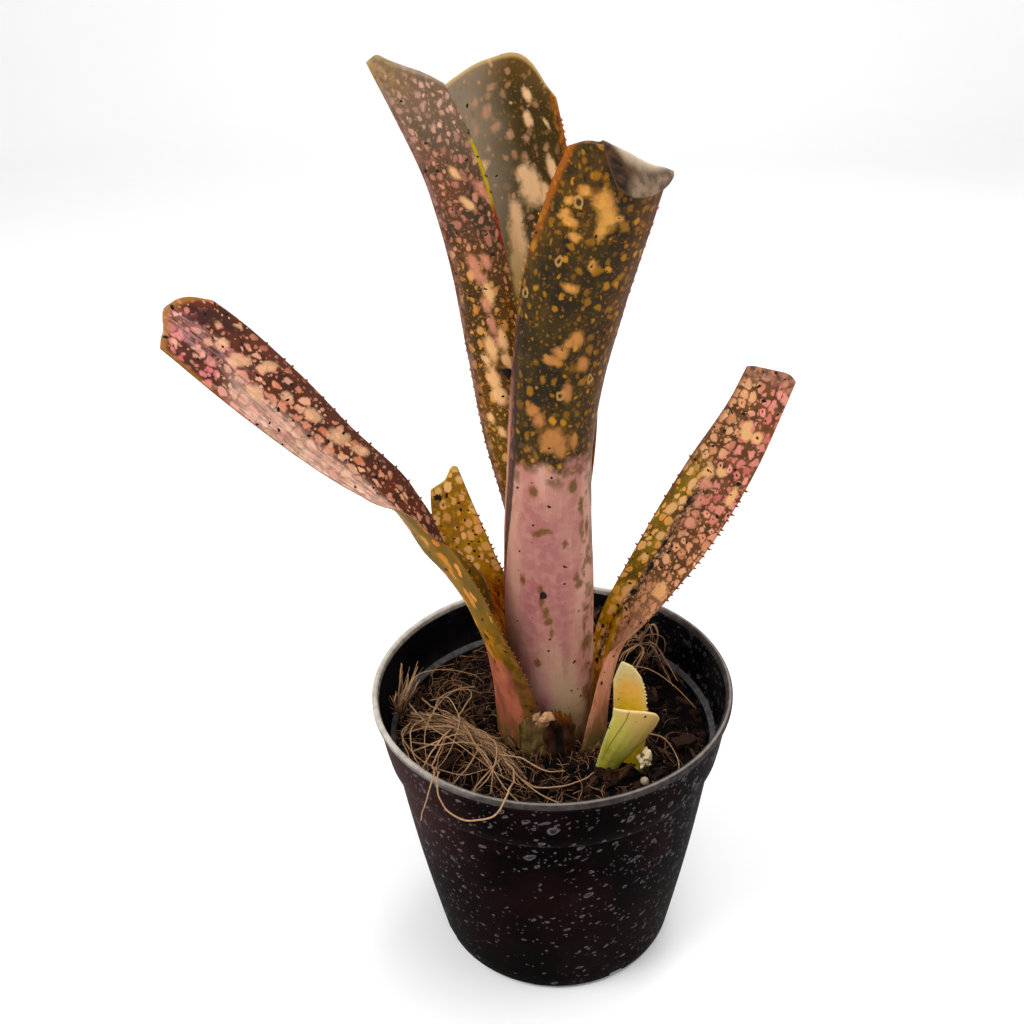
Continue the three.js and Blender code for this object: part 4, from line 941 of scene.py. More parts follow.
    face = m.mix(m.times(hollow, 0.95), face, blend(m, place, 0.4, srgb(22, 15, 11), srgb(84, 58, 40)))
    face = m.mix(m.step(past, 0.95, 0.99), face, srgb(84, 62, 42))
    # Painted highlight: a pale band along the bend of the turned-over tip.
    face = m.mix(m.times(m.step(past, 0.5, 0.2), 0.8), face, srgb(200, 182, 158))
    onto = m.times(m.step(past, 0.02, 0.1), m.step(ragged(m, place, u, 0.3, 0.15), -0.55, -0.15, 0.3, 1.0))
    colour = m.mix(onto, colour, face)
    inside = m.times(m.number("inside"), m.step(past, 0.2, 0.0))
    return m.mix(m.times(inside, 0.8), colour, blend(m, place, 0.1, srgb(52, 36, 24), srgb(98, 70, 36)))


def paint_back(m, place, u, v):
    """Grey olive with a painted silvery sheen, a few large cream patches and an orange-brown margin."""
    # The side where u is above 0.45 is painted greyer: painted sheen.
    base = m.mix(m.step(u, -0.35, 0.45), srgb(70, 52, 14), srgb(82, 68, 40))
    base = m.mix(m.times(m.noise(place, 0.12, 3.0), 0.7), base, srgb(36, 30, 12))
    base = m.mix(m.times(m.step(v, 0.95, 1.0), 0.4), base, srgb(116, 80, 38))
    # Painted sheen: a silvery grey over the upper part, strongest on one side and in the middle.
    bloom_and_sheen = m.times(m.step(ragged(m, place, u, 0.08, 0.2), -0.35, 0.55), m.step(v, 0.66, 0.88))
    base = m.mix(m.times(bloom_and_sheen, 0.75), base, srgb(160, 144, 124))
    base = dabs(m, base, place, 1.7, srgb(160, 118, 72), srgb(120, 88, 48), 0.5, 1.0, 43, 0.08)
    base = dabs(m, base, place, 3.0, srgb(190, 144, 102), srgb(138, 102, 64), 0.75, 1.0, 17, 0.08, 0.28, 1.3,
                0.7, 0.1)
    base = dabs(m, base, place, 5.0, srgb(210, 164, 128), srgb(176, 126, 96), 0.85, 0.95, 5, 0.06, 0.28, 1.3,
                0.6, 0.1)
    base = m.mix(m.times(mark(m, place, "pink", 0.6, 1.1), 0.75), base, srgb(194, 148, 122))
    base = m.mix(m.times(mark(m, place, "pale", 0.5, 1.0), 0.95), base, srgb(230, 188, 146))
    yellow = m.times(band(m, u, 0.1, 0.6, 0.12), m.step(v, 0.82, 0.7))
    base = m.mix(m.times(yellow, 0.5), base, srgb(124, 104, 24))
    margin = m.step(ragged(m, place, u, 0.4, 0.07), -0.86, -0.97)
    rust = blend(m, place, 0.6, srgb(104, 56, 22), srgb(186, 112, 44), 1.5)
    base = m.mix(m.times(margin, 0.85), base, rust)
    base = m.mix(m.times(m.step(v, 0.992, 0.999), 0.7), base, srgb(196, 164, 112))
    base = m.mix(specks(m, place, 4.8, 3, 0.8, 0.07), base, BLACK)
    low = m.step(ragged(m, place, v, 0.1, 0.05), 0.55, 0.5)
    outside = m.math("SUBTRACT", 1.0, m.number("inside"))
    return m.mix(m.times(low, outside), base, blend(m, place, 0.09, MAUVE, SALMON, 3.0))


def paint_inner(m, place, u, v):
    """Red-brown with dense salmon spots above, olive with cream-orange spots below."""
    top = m.step(ragged(m, place, v, 0.08, 0.06), 0.7, 0.82)
    base = m.mix(top, blend(m, place, 0.1, srgb(64, 44, 12), srgb(88, 58, 22), 2.0),
                 blend(m, place, 0.14, srgb(98, 64, 46), srgb(62, 48, 32), 2.0))
    base = m.mix(m.times(m.step(v, 0.6, 0.5), 0.7), base, srgb(96, 70, 8))
    end = m.step(v, 0.84, 0.96)
    base = m.mix(m.times(end, 0.6), base, srgb(134, 112, 92))
    fine_light = m.mix(top, srgb(206, 150, 96), srgb(194, 138, 114))
    light = m.mix(top, srgb(228, 172, 112), srgb(216, 156, 130))
    light = m.mix(m.times(end, 0.8), light, srgb(240, 200, 180))
    dark = m.mix(top, srgb(190, 128, 78), srgb(174, 112, 92))
    dark = m.mix(m.times(end, 0.8), dark, srgb(212, 162, 144))
    base = dabs(m, base, place, 1.2, fine_light, dark, 0.6, 1.0, 21, 0.12)
    base = dabs(m, base, place, 2.1, light, dark, 0.9, m.step(v, 0.6, 0.9, 0.9, 1.25), 9, 0.12, 0.26, 1.35, 0.5)
    base = dabs(m, base, place, 3.7, light, dark, 0.97, m.step(v, 0.9, 0.7, 0.8, 1.15), 57, 0.08, 0.28, 1.5,
                0.45, 0.3)
    base = m.mix(m.times(mark(m, place, "pink", 0.6, 1.2), 0.8), base, srgb(214, 148, 124))
    base = m.mix(m.times(mark(m, place, "pale", 0.5, 1.1), 0.92), base, srgb(236, 186, 138))
    # The left margin: dark red-brown, clouded with grey-mauve that is a painted highlight.
    left = m.step(ragged(m, place, u, 0.3, 0.1), -0.55, -0.95)
    base = m.mix(m.times(left, 0.6), base, blend(m, place, 0.4, srgb(88, 48, 42), srgb(146, 116, 106), 3.0))
    bright = m.times(m.step(u, 0.84, 0.93), band(m, v, 0.84, 0.91, 0.02))
    base = m.mix(m.times(bright, 0.9), base, srgb(190, 166, 62))
    red = m.times(m.step(u, 0.86, 0.95), band(m, v, 0.79, 0.83, 0.02))
    base = m.mix(m.times(red, 0.8), base, srgb(142, 50, 44))
    base = m.mix(m.times(m.step(v, 0.99, 0.998), 0.7), base, srgb(168, 148, 126))
    tip = m.times(m.step(v, 0.93, 1.0), m.step(u, 0.3, -0.6))
    base = m.mix(m.times(tip, 0.75), base, blend(m, place, 0.5, srgb(170, 140, 92), srgb(122, 100, 74)))
    dots = m.math("MAXIMUM", specks(m, place, 4.0, 3, 0.78, 0.1), mark(m, place, "black", 0.15))
    return m.mix(dots, base, BLACK)


def paint_left(m, place, u, v):
    """Pink and cream cells in a brown network on the inner side, olive with orange dashes outside."""
    base = blend(m, place, 0.2, srgb(98, 55, 40), srgb(68, 40, 31))
    light = m.mix(patch(m, place, 0.12, 0.42, 0.6), srgb(250, 194, 168), srgb(252, 214, 174))
    dark = m.mix(m.step(u, -0.2, 0.5), srgb(226, 146, 116), srgb(226, 158, 144))
    magenta = m.times(m.step(v, 0.8, 0.93), patch(m, place, 0.16, 0.42, 0.56))
    light = m.mix(m.times(magenta, 0.8), light, srgb(232, 146, 152))
    dark = m.mix(m.times(magenta, 0.85), dark, srgb(200, 98, 106))
    inner = dabs(m, base, place, 1.8, light, dark, 0.8, m.step(u, -0.9, 0.2, 0.9, 1.25), 47, 0.12, 0.26, 1.3,
                 0.45, 0.4)
    inner = dabs(m, inner, place, 3.3, light, dark, 0.97, m.step(u, -0.95, 0.3, 0.85, 1.45), 13, 0.16, 0.26, 1.5,
                 0.4, 0.6, 0.16)
    fine = streaks(m, 0.4, 0.62, 1.5)
    pale = m.times(m.step(ragged(m, place, u, 0.1, 0.2), -0.05, 0.45), band(m, v, 0.56, 0.84, 0.06))
    streaked = m.mix(fine, srgb(200, 150, 134), srgb(244, 212, 190))
    inner = m.mix(m.times(pale, 0.6), inner, streaked)
    bloom_and_sheen = m.times(band(m, u, -0.15, 0.3, 0.2), m.step(v, 0.82, 0.9))
    inner = m.mix(m.times(m.times(bloom_and_sheen, fine), 0.35), inner, srgb(226, 180, 178))
    inner = m.mix(m.times(mark(m, place, "pale", 0.35, 1.2), 0.7), inner, srgb(236, 188, 152))
    inner = m.mix(m.times(mark(m, place, "dark", 0.4), 0.9), inner, srgb(62, 36, 32))
    upper_edge = m.times(m.step(ragged(m, place, u, 0.3, 0.1), -0.6, -0.95), m.step(v, 0.95, 0.9))
    inner = m.mix(m.times(upper_edge, 0.6), inner, srgb(84, 54, 44))
    tip = m.step(ragged(m, place, v, 0.2, 0.012), 0.984, 0.994)
    tip = m.math("MAXIMUM", tip, m.times(m.step(u, 0.84, 0.97), m.step(v, 0.85, 0.95)))
    inner = m.mix(m.times(tip, 0.7), inner, srgb(166, 118, 70))
    muddy = dabs(m, blend(m, place, 0.2, srgb(96, 74, 16), srgb(116, 78, 22)), place, 3.0, srgb(214, 154, 92),
                 srgb(170, 112, 56), 0.85, 1.0, 71, 0.14, 0.28, 1.8)
    inner = m.mix(m.step(ragged(m, place, v, 0.15, 0.03), 0.47, 0.41), inner, muddy)
    olive = blend(m, place, 0.12, srgb(138, 98, 0), srgb(98, 72, 0), 4.0)
    outer = dabs(m, olive, place, 2.0, srgb(196, 130, 50), srgb(140, 100, 20), 0.35, 0.9, 91, 0.12, 0.24, 2.0)
    outer = dabs(m, outer, place, 3.8, srgb(226, 158, 104), srgb(198, 128, 72), 0.95,
                 m.step(v, 0.6, 0.3, 0.8, 1.3), 29, 0.1, 0.3, 2.6, 0.35, 0.7)
    foot = m.step(m.plus(ragged(m, place, v, 0.16, 0.07), m.times(u, 0.05)), 0.29, 0.23)
    flesh = blend(m, place, 0.12, srgb(196, 122, 100), srgb(146, 88, 74), 2.0)
    flesh = m.mix(m.times(m.step(v, 0.14, 0.03), patch(m, place, 0.2, 0.34, 0.52)), flesh, srgb(98, 84, 44))
    flesh = m.mix(m.times(cracks(m, place, 9, 2.2, 0.03, 0.55), 0.6), flesh, srgb(84, 50, 40))
    outer = m.mix(foot, outer, flesh)
    green = m.times(m.step(ragged(m, place, u, 0.18, 0.16), 0.58, 0.7), m.step(v, 0.36, 0.28))
    outer = m.mix(m.times(green, 0.8), outer, blend(m, place, 0.3, srgb(78, 62, 16), srgb(116, 88, 48)))
    back = m.step(ragged(m, place, v, 0.1, 0.03), 0.62, 0.68)
    outer = m.mix(back, outer, blend(m, place, 0.1, MAUVE, srgb(132, 88, 70), 2.0))
    colour = m.mix(m.number("inside"), outer, inner)
    dots = m.math("MAXIMUM", specks(m, place, 4.2, 3, 0.7, 0.1), mark(m, place, "black", 0.15))
    return m.mix(dots, colour, BLACK)


def paint_right(m, place, u, v):
    """Olive with crisp cream spots on one half, a brown and pink network on the other."""
    strip = m.step(ragged(m, place, u, 0.15, 0.1), 0.24, 0.42)
    strip = m.times(strip, m.step(v, 0.8, 0.68))
    olive = blend(m, place, 0.14, srgb(132, 104, 8), srgb(92, 66, 14), 2.0)
    olive = dabs(m, olive, place, 1.8, srgb(222, 164, 92), srgb(180, 124, 56), 0.85, 1.0, 61, 0.12, 0.24, 1.3,
                 0.3, 0.3, 0.1)
    olive = dabs(m, olive, place, 3.5, srgb(242, 190, 132), srgb(228, 164, 98), 1.0, 1.2, 17, 0.16, 0.26, 1.3,
                 0.2, 0.9, 0.12)
    brown = blend(m, place, 0.2, srgb(114, 78, 52), srgb(86, 57, 38))
    pinker = m.times(m.step(ragged(m, place, u, 0.15, 0.25), 0.35, -0.2), m.step(v, 0.5, 0.72))
    light = m.mix(m.times(pinker, 0.85), srgb(246, 194, 152), srgb(238, 160, 150))
    dark = m.mix(m.times(pinker, 0.85), srgb(216, 154, 116), srgb(206, 114, 114))
    brown = dabs(m, brown, place, 1.7, light, dark, 0.8, 1.2, 81, 0.14, 0.24, 1.2, 0.4, 0.5, 0.1)
    brown = dabs(m, brown, place, 3.3, light, dark, 0.97, 1.4, 5, 0.2, 0.22, 1.3, 0.35, 0.7, 0.16)
    distance, colour_of = m.cells(cell_place(m, place, 3.3, 5, 1.3), True, EVENNESS)
    eye = m.times(m.math("LESS_THAN", distance, 0.09), m.math("GREATER_THAN", m.green(colour_of), 0.75))
    brown = m.mix(eye, brown, srgb(70, 40, 26))
    faded = m.times(m.step(v, 0.5, 0.34), m.step(u, 0.3, -0.2))
    brown = m.mix(m.times(faded, 0.5), brown, srgb(190, 144, 116))
    colour = m.mix(strip, brown, olive)
    foot = m.step(ragged(m, place, v, 0.12, 0.06), 0.32, 0.22)
    flesh = blend(m, place, 0.12, srgb(232, 170, 140), srgb(192, 126, 102), 2.5)
    gold = dabs(m, blend(m, place, 0.2, srgb(170, 136, 20), srgb(214, 150, 52)), place, 4.2, srgb(252, 206, 146),
                srgb(246, 184, 118), 0.95, 1.4, 33, 0.22, 0.24, 1.6, 0.3, 0.7, 0.16)
    low = m.step(ragged(m, place, v, 0.12, 0.06), 0.44, 0.32)
    colour = m.mix(m.times(low, m.step(u, 0.2, 0.4)), colour, gold)
    pinkish = blend(m, place, 0.16, srgb(240, 188, 158), srgb(214, 152, 122), 2.5)
    colour = m.mix(m.times(foot, m.step(u, 0.3, 0.1)), colour, pinkish)
    colour = m.mix(m.times(mark(m, place, "pink", 0.4), 0.85), colour, srgb(220, 154, 132))
    colour = m.mix(m.times(mark(m, place, "pale", 0.3), 0.92), colour, srgb(234, 184, 134))
    valley = m.step(v, 0.44, 0.25, 0.19, 0.6)
    off = m.math("ABSOLUTE", m.math("SUBTRACT", ragged(m, place, u, 0.3, 0.1), valley))
    dirt = m.step(m.noise(m.scaled(place, (1, 0.5, 1)), 0.9, 4.0, 0.7), 0.4, 0.56)
    crease = m.times(m.times(m.step(off, 0.2, 0.02), dirt), band(m, v, 0.2, 0.68, 0.03))
    line = m.times(m.step(off, 0.05, 0.015), band(m, v, 0.2, 0.62, 0.03))
    crease = m.math("MAXIMUM", crease, m.times(line, 0.7))
    colour = m.mix(m.times(m.times(crease, m.number("inside")), 0.95), colour, srgb(34, 22, 14))
    tip = m.times(m.step(ragged(m, place, v, 0.3, 0.02), 0.955, 0.985), 0.8)
    colour = m.mix(tip, colour, blend(m, place, 0.5, srgb(84, 58, 48), srgb(168, 122, 100)))
    edge = m.times(m.step(u, 0.86, 0.97), m.step(v, 0.6, 0.75))
    colour = m.mix(m.times(edge, 0.6), colour, srgb(110, 78, 64))
    outer = m.mix(m.times(cracks(m, place, 8, 2.4, 0.03, 0.42), 0.8), flesh, srgb(64, 38, 32))
    outer = m.mix(m.times(m.step(v, 0.14, 0.04), patch(m, place, 0.2, 0.34, 0.5)), outer, srgb(112, 98, 62))
    network = dabs(m, srgb(112, 74, 56), place, 3.0, srgb(206, 150, 126), srgb(180, 118, 96), 0.9, 1.3, 5, 0.2,
                   0.22, 1.2, 0.4, 0.6, 0.14)
    outer = m.mix(m.step(ragged(m, place, v, 0.12, 0.05), 0.26, 0.36), outer, network)
    colour = m.mix(m.number("inside"), outer, colour)
    dots = m.math("MAXIMUM", specks(m, place, 3.4, 3, 0.76, 0.13), mark(m, place, "black", 0.15))
    return m.mix(dots, colour, BLACK)


def paint_short(m, place, u, v):
    """Olive-orange with cream spots, black specks and a decayed streak near the base."""
    base = blend(m, place, 0.2, srgb(180, 130, 50), srgb(150, 110, 54), 1.5)
    base = m.mix(m.times(m.step(v, 0.75, 0.9), 0.5), base, srgb(120, 92, 52))
    base = dabs(m, base, place, 1.8, srgb(226, 170, 92), srgb(186, 128, 60), 0.85, 1.3, 9, 0.12, 0.26, 1.3, 0.45)
    base = dabs(m, base, place, 3.5, srgb(246, 200, 142), srgb(232, 164, 106), 0.97, 1.35, 51, 0.12, 0.28, 1.3,
                0.35, 0.6, 0.1)
    rot = m.times(band(m, u, -0.6, 0.1, 0.25), m.step(v, 0.66, 0.5))
    streak = m.noise(m.scaled(place, (1.3, 0.16, 1)), 1.0, 4.0, 0.7)
    rotten = m.mix(m.step(streak, 0.42, 0.58), srgb(104, 46, 20), srgb(214, 132, 60))
    base = m.mix(m.times(rot, m.step(streak, 0.3, 0.45)), base, rotten)
    gold = m.times(m.step(u, 0.1, 0.5), m.step(v, 0.6, 0.4))
    base = m.mix(m.times(gold, 0.6), base, srgb(206, 150, 44))
    base = m.mix(m.times(m.step(v, 0.3, 0.15), 0.8), base, srgb(190, 120, 90))
    base = m.mix(m.times(m.step(v, 0.98, 0.998), 0.7), base, srgb(170, 140, 70))
    dots = m.math("MAXIMUM", specks(m, place, 2.7, 3, 0.66, 0.15), mark(m, place, "black", 0.15))
    return m.mix(dots, base, BLACK)


def paint_pup_blade(m, place, u, v):
    """Yellow at the foot, peach in the middle and greenish cream at the tip."""
    low = m.mix(patch(m, place, 0.2, 0.4, 0.6), srgb(222, 188, 62), srgb(236, 208, 90))
    base = m.mix(m.step(ragged(m, place, v, 0.2, 0.05), 0.52, 0.74), low, srgb(224, 178, 104))
    base = m.mix(m.step(ragged(m, place, v, 0.2, 0.05), 0.78, 0.98), base, srgb(206, 190, 142))
    sides = m.step(m.math("ABSOLUTE", u), 0.6, 1.0)
    base = m.mix(m.times(sides, 0.5), base, srgb(220, 200, 140))
    base = m.mix(m.times(patch(m, place, 0.5, 0.5, 0.66), 0.3), base, srgb(196, 148, 92))
    return m.mix(specks(m, place, 3.0, 3, 0.84, 0.09), base, srgb(90, 60, 30))


def paint_pup_front(m, place, u, v):
    """Green at the foot, peach at the right corner, with a few crease lines."""
    turn = m.math("MULTIPLY_ADD", u, 0.16, v)
    base = m.mix(m.step(ragged(m, place, turn, 0.12, 0.08), 0.55, 1.0), srgb(206, 192, 104), srgb(234, 192, 130))
    green = m.step(ragged(m, place, m.math("MULTIPLY_ADD", u, 0.12, v), 0.12, 0.06), 0.6, 0.32)
    base = m.mix(green, base, srgb(166, 160, 72))
    base = m.mix(m.times(patch(m, place, 0.3, 0.42, 0.62), 0.35), base, srgb(206, 196, 120))
    for start, slope, low_end, high_end in ((-0.98, 0.42, 0.3, 1.0), (-1.5, 2.1, 0.52, 0.62)):
        line = m.math("MULTIPLY_ADD", v, -slope, m.math("SUBTRACT", ragged(m, place, u, 0.3, 0.04), start))
        line = m.step(m.math("ABSOLUTE", m.math("SUBTRACT", line, slope * 0.5)), 0.045, 0.01)
        base = m.mix(m.times(m.times(line, band(m, v, low_end, high_end, 0.02)), 0.65), base, srgb(92, 80, 36))
    base = m.mix(m.times(m.step(v, 0.96, 1.0), 0.6), base, srgb(236, 212, 168))
    side = m.step(u, -0.8, -1.0)
    base = m.mix(m.times(side, 0.6), base, srgb(214, 214, 150))
    return m.mix(specks(m, place, 3.2, 3, 0.68, 0.1), base, srgb(60, 40, 26))


def papery(light, dark, blotch, hollow=0.0, roll=None):
    """Dry, fibrous tissue. hollow darkens a strip along its middle, roll is the colour of its curled top."""
    def paint(m, place, u, v):
        streak = m.noise(m.scaled(place, (1.1, 0.2, 1)), 1.0, 5.0, 0.7)
        base = m.mix(m.step(streak, 0.36, 0.6), dark, light)
        base = m.mix(m.times(patch(m, place, 0.3, 0.44, 0.58), 0.85), base, blotch)
        if hollow:
            gap = m.times(band(m, ragged(m, place, u, 0.5, 0.12), -0.25, 0.1, 0.12), m.step(v, 0.84, 0.72))
            base = m.mix(m.times(gap, hollow), base, srgb(14, 8, 5))
        if roll:
            base = m.mix(m.times(m.step(ragged(m, place, v, 0.6, 0.06), 0.78, 0.92), 0.8), base, roll)
        base = m.mix(m.times(m.number("inside"), 0.75), base, tuple(0.3 * c for c in dark))
        frayed = m.step(m.math("ABSOLUTE", ragged(m, place, u, 0.8, 0.1)), 0.86, 0.97)
        base = m.mix(m.times(frayed, 0.7), base, srgb(40, 22, 14))
        return m.mix(m.times(m.step(ragged(m, place, v, 0.5, 0.1), 0.45, 0.2), 0.85), base, srgb(34, 22, 16))
    return paint


# Marks placed one by one: u, share of the length, width and length in mm
MARKS = {
    "leaf_front": dict(
        pale=[(-0.05, 0.94, 7, 7), (0.08, 0.925, 6, 7), (0.04, 0.905, 3.5, 5), (-0.4, 0.942, 4, 3.5),
              (-0.58, 0.925, 3, 3), (-0.58, 0.908, 3.4, 3.4), (-0.45, 0.90, 5, 3), (0.27, 0.929, 2.4, 2.4),
              (0.07, 0.859, 2.6, 4), (-0.3, 0.885, 4, 3), (-0.15, 0.82, 5, 3), (0.0, 0.745, 3, 4),
              (0.12, 0.755, 4, 6), (-0.1, 0.73, 5, 4), (-0.2, 0.715, 7, 3), (0.28, 0.72, 4, 6),
              (0.1, 0.675, 3.5, 7), (-0.42, 0.635, 4.5, 5), (-0.28, 0.625, 4, 5.5), (-0.02, 0.6, 8, 9),
              (0.1, 0.587, 4, 7), (-0.12, 0.59, 5, 6), (0.3, 0.6, 3, 7)],
        dark=[(-0.28, 0.513, 4, 5), (0.33, 0.527, 4, 6), (-0.2, 0.446, 4, 3), (-0.08, 0.452, 6, 2.4),
              (-0.14, 0.35, 3, 5), (-0.12, 0.33, 2.4, 7), (-0.08, 0.31, 3.4, 6), (-0.03, 0.294, 4, 4),
              (0.02, 0.274, 2.2, 6), (0.36, 0.37, 3, 5), (0.4, 0.355, 4, 4),
              (0.55, 0.304, 6, 3), (0.53, 0.238, 6, 7), (0.5, 0.27, 2.4, 6), (0.47, 0.49, 2.4, 8),
              (-0.2, 0.213, 3.4, 4), (0.62, 0.45, 3, 9), (0.2, 0.43, 3, 4), (-0.4, 0.36, 2.6, 6)],
        black=[(-0.1, 0.34, 3, 4), (0.28, 0.154, 2.4, 2), (0.1, 0.141, 2, 2), (0.32, 0.212, 2, 1.6),
               (-0.58, 0.908, 1.3, 1.3), (0.27, 0.929, 1.1, 1.1), (0.07, 0.859, 1, 2),
               (-0.3, 0.807, 1, 2)],
    ),
    "leaf_back": dict(
        pale=[(-0.5, 0.95, 3.5, 6), (-0.45, 0.914, 3.5, 6), (-0.73, 0.922, 2.4, 3), (-0.68, 0.862, 4, 9),
              (-0.3, 0.832, 8, 14), (-0.5, 0.82, 5, 9), (-0.22, 0.85, 5, 6), (0.0, 0.805, 4.5, 12),
              (0.05, 0.775, 6, 18), (0.14, 0.745, 5, 14), (0.2, 0.72, 3, 10), (0.3, 0.885, 2.4, 4)],
        pink=[(0.1, 0.94, 3.4, 4.4), (0.02, 0.918, 4, 3), (0.25, 0.958, 2.4, 3), (0.3, 0.93, 2.4, 3),
              (-0.12, 0.9, 2, 2.4), (-0.36, 0.89, 2.4, 2.6), (0.0, 0.965, 3, 2.6), (0.2, 0.9, 2.2, 2.4),
              (-0.3, 0.87, 2.2, 3)],
    ),
    "leaf_inner": dict(
        pink=[(-0.1, 0.76, 4, 6), (-0.02, 0.745, 5, 5), (0.72, 0.868, 4, 5), (0.3, 0.77, 3, 5),
              (0.05, 0.71, 3, 6), (0.12, 0.685, 2.6, 7), (0.2, 0.665, 2.4, 5)],
        pale=[(0.2, 0.727, 3, 8), (0.38, 0.668, 3, 9), (-0.05, 0.65, 4, 10), (0.4, 0.64, 3.4, 6),
              (-0.15, 0.605, 4.5, 9), (-0.05, 0.585, 5.5, 8), (-0.3, 0.63, 3, 4), (0.2, 0.84, 4, 4),
              (0.1, 0.875, 3, 4), (-0.5, 0.545, 3, 4), (-0.2, 0.53, 3.5, 4)],
        black=[(0.36, 0.622, 4.4, 4.4)],
    ),
    "leaf_left": dict(
        pale=[(-0.13, 0.88, 5, 6), (-0.25, 0.872, 4, 4), (-0.2, 0.912, 4, 4), (-0.38, 0.747, 5, 7),
              (-0.27, 0.794, 3.5, 4), (0.2, 0.832, 5, 5), (0.28, 0.845, 3.4, 4), (-0.45, 0.695, 6, 8),
              (-0.62, 0.656, 4, 7), (-0.6, 0.85, 4, 4), (-0.45, 0.848, 5, 4)],
        dark=[(-0.58, 0.965, 5, 6), (-0.45, 0.95, 5, 5), (-0.3, 0.963, 3, 4), (-0.7, 0.93, 3, 8)],
        black=[(0.45, 0.296, 3, 3)],
    ),
    "leaf_right": dict(
        pale=[(-0.05, 0.862, 3.4, 7), (-0.2, 0.845, 4, 4), (-0.55, 0.852, 4.6, 4.6), (0.25, 0.74, 4.4, 5),
              (0.47, 0.7, 3, 6), (0.42, 0.655, 4, 3.4), (0.6, 0.63, 4, 6), (0.45, 0.553, 4, 4.6),
              (0.66, 0.525, 2.6, 2.6), (0.58, 0.489, 3.6, 3.6), (-0.55, 0.43, 6, 7), (-0.1, 0.75, 5, 4),
              (-0.75, 0.715, 3, 9), (0.5, 0.386, 5, 5), (0.42, 0.36, 4, 5)],
        pink=[(0.0, 0.665, 4, 6), (-0.15, 0.61, 5, 5), (0.1, 0.71, 6, 4)],
        black=[(0.62, 0.19, 2, 3), (-0.55, 0.854, 1.5, 1.5), (0.28, 0.742, 1.2, 1.2), (0.28, 0.66, 1.6, 4),
               (0.2, 0.54, 1.6, 5), (0.2, 0.47, 2, 4), (0.3, 0.39, 2.6, 3)],
    ),
    "leaf_short": dict(
        black=[(0.48, 0.955, 2, 2.4), (0.68, 0.965, 2, 2.4), (0.12, 0.95, 1.4, 2.4), (-0.05, 0.83, 1.2, 1.2),
               (-0.2, 0.75, 1.4, 1.4)],
    ),
}


MARK_REACH = 0.42


def mark_field(marks, across, s, length, half_width):
    """1 at a mark's centre, 0 at its edge and less outside."""
    field = np.full(across.shape, -1.0)
    for u, v, width, reach in marks:
        far = np.hypot((across - u * half_width) / width, (s - v * length) / reach) / MARK_REACH
        field = np.maximum(field, 1 - far)
    return field


# Pot

def pot_outer(z):
    share = z / SHOULDER_Z
    return BASE_RADIUS + (SHOULDER_RADIUS - BASE_RADIUS) * share + WALL_BULGE * math.sin(math.pi * share)


def pot_inner(z):
    if z < LEDGE_Z:
        return pot_outer(z) - WALL
    return (LEDGE_OUTER_RADIUS
            + (UPPER_INNER_RADIUS - LEDGE_OUTER_RADIUS) * (z - LEDGE_Z) / (POT_HEIGHT - LEDGE_Z))


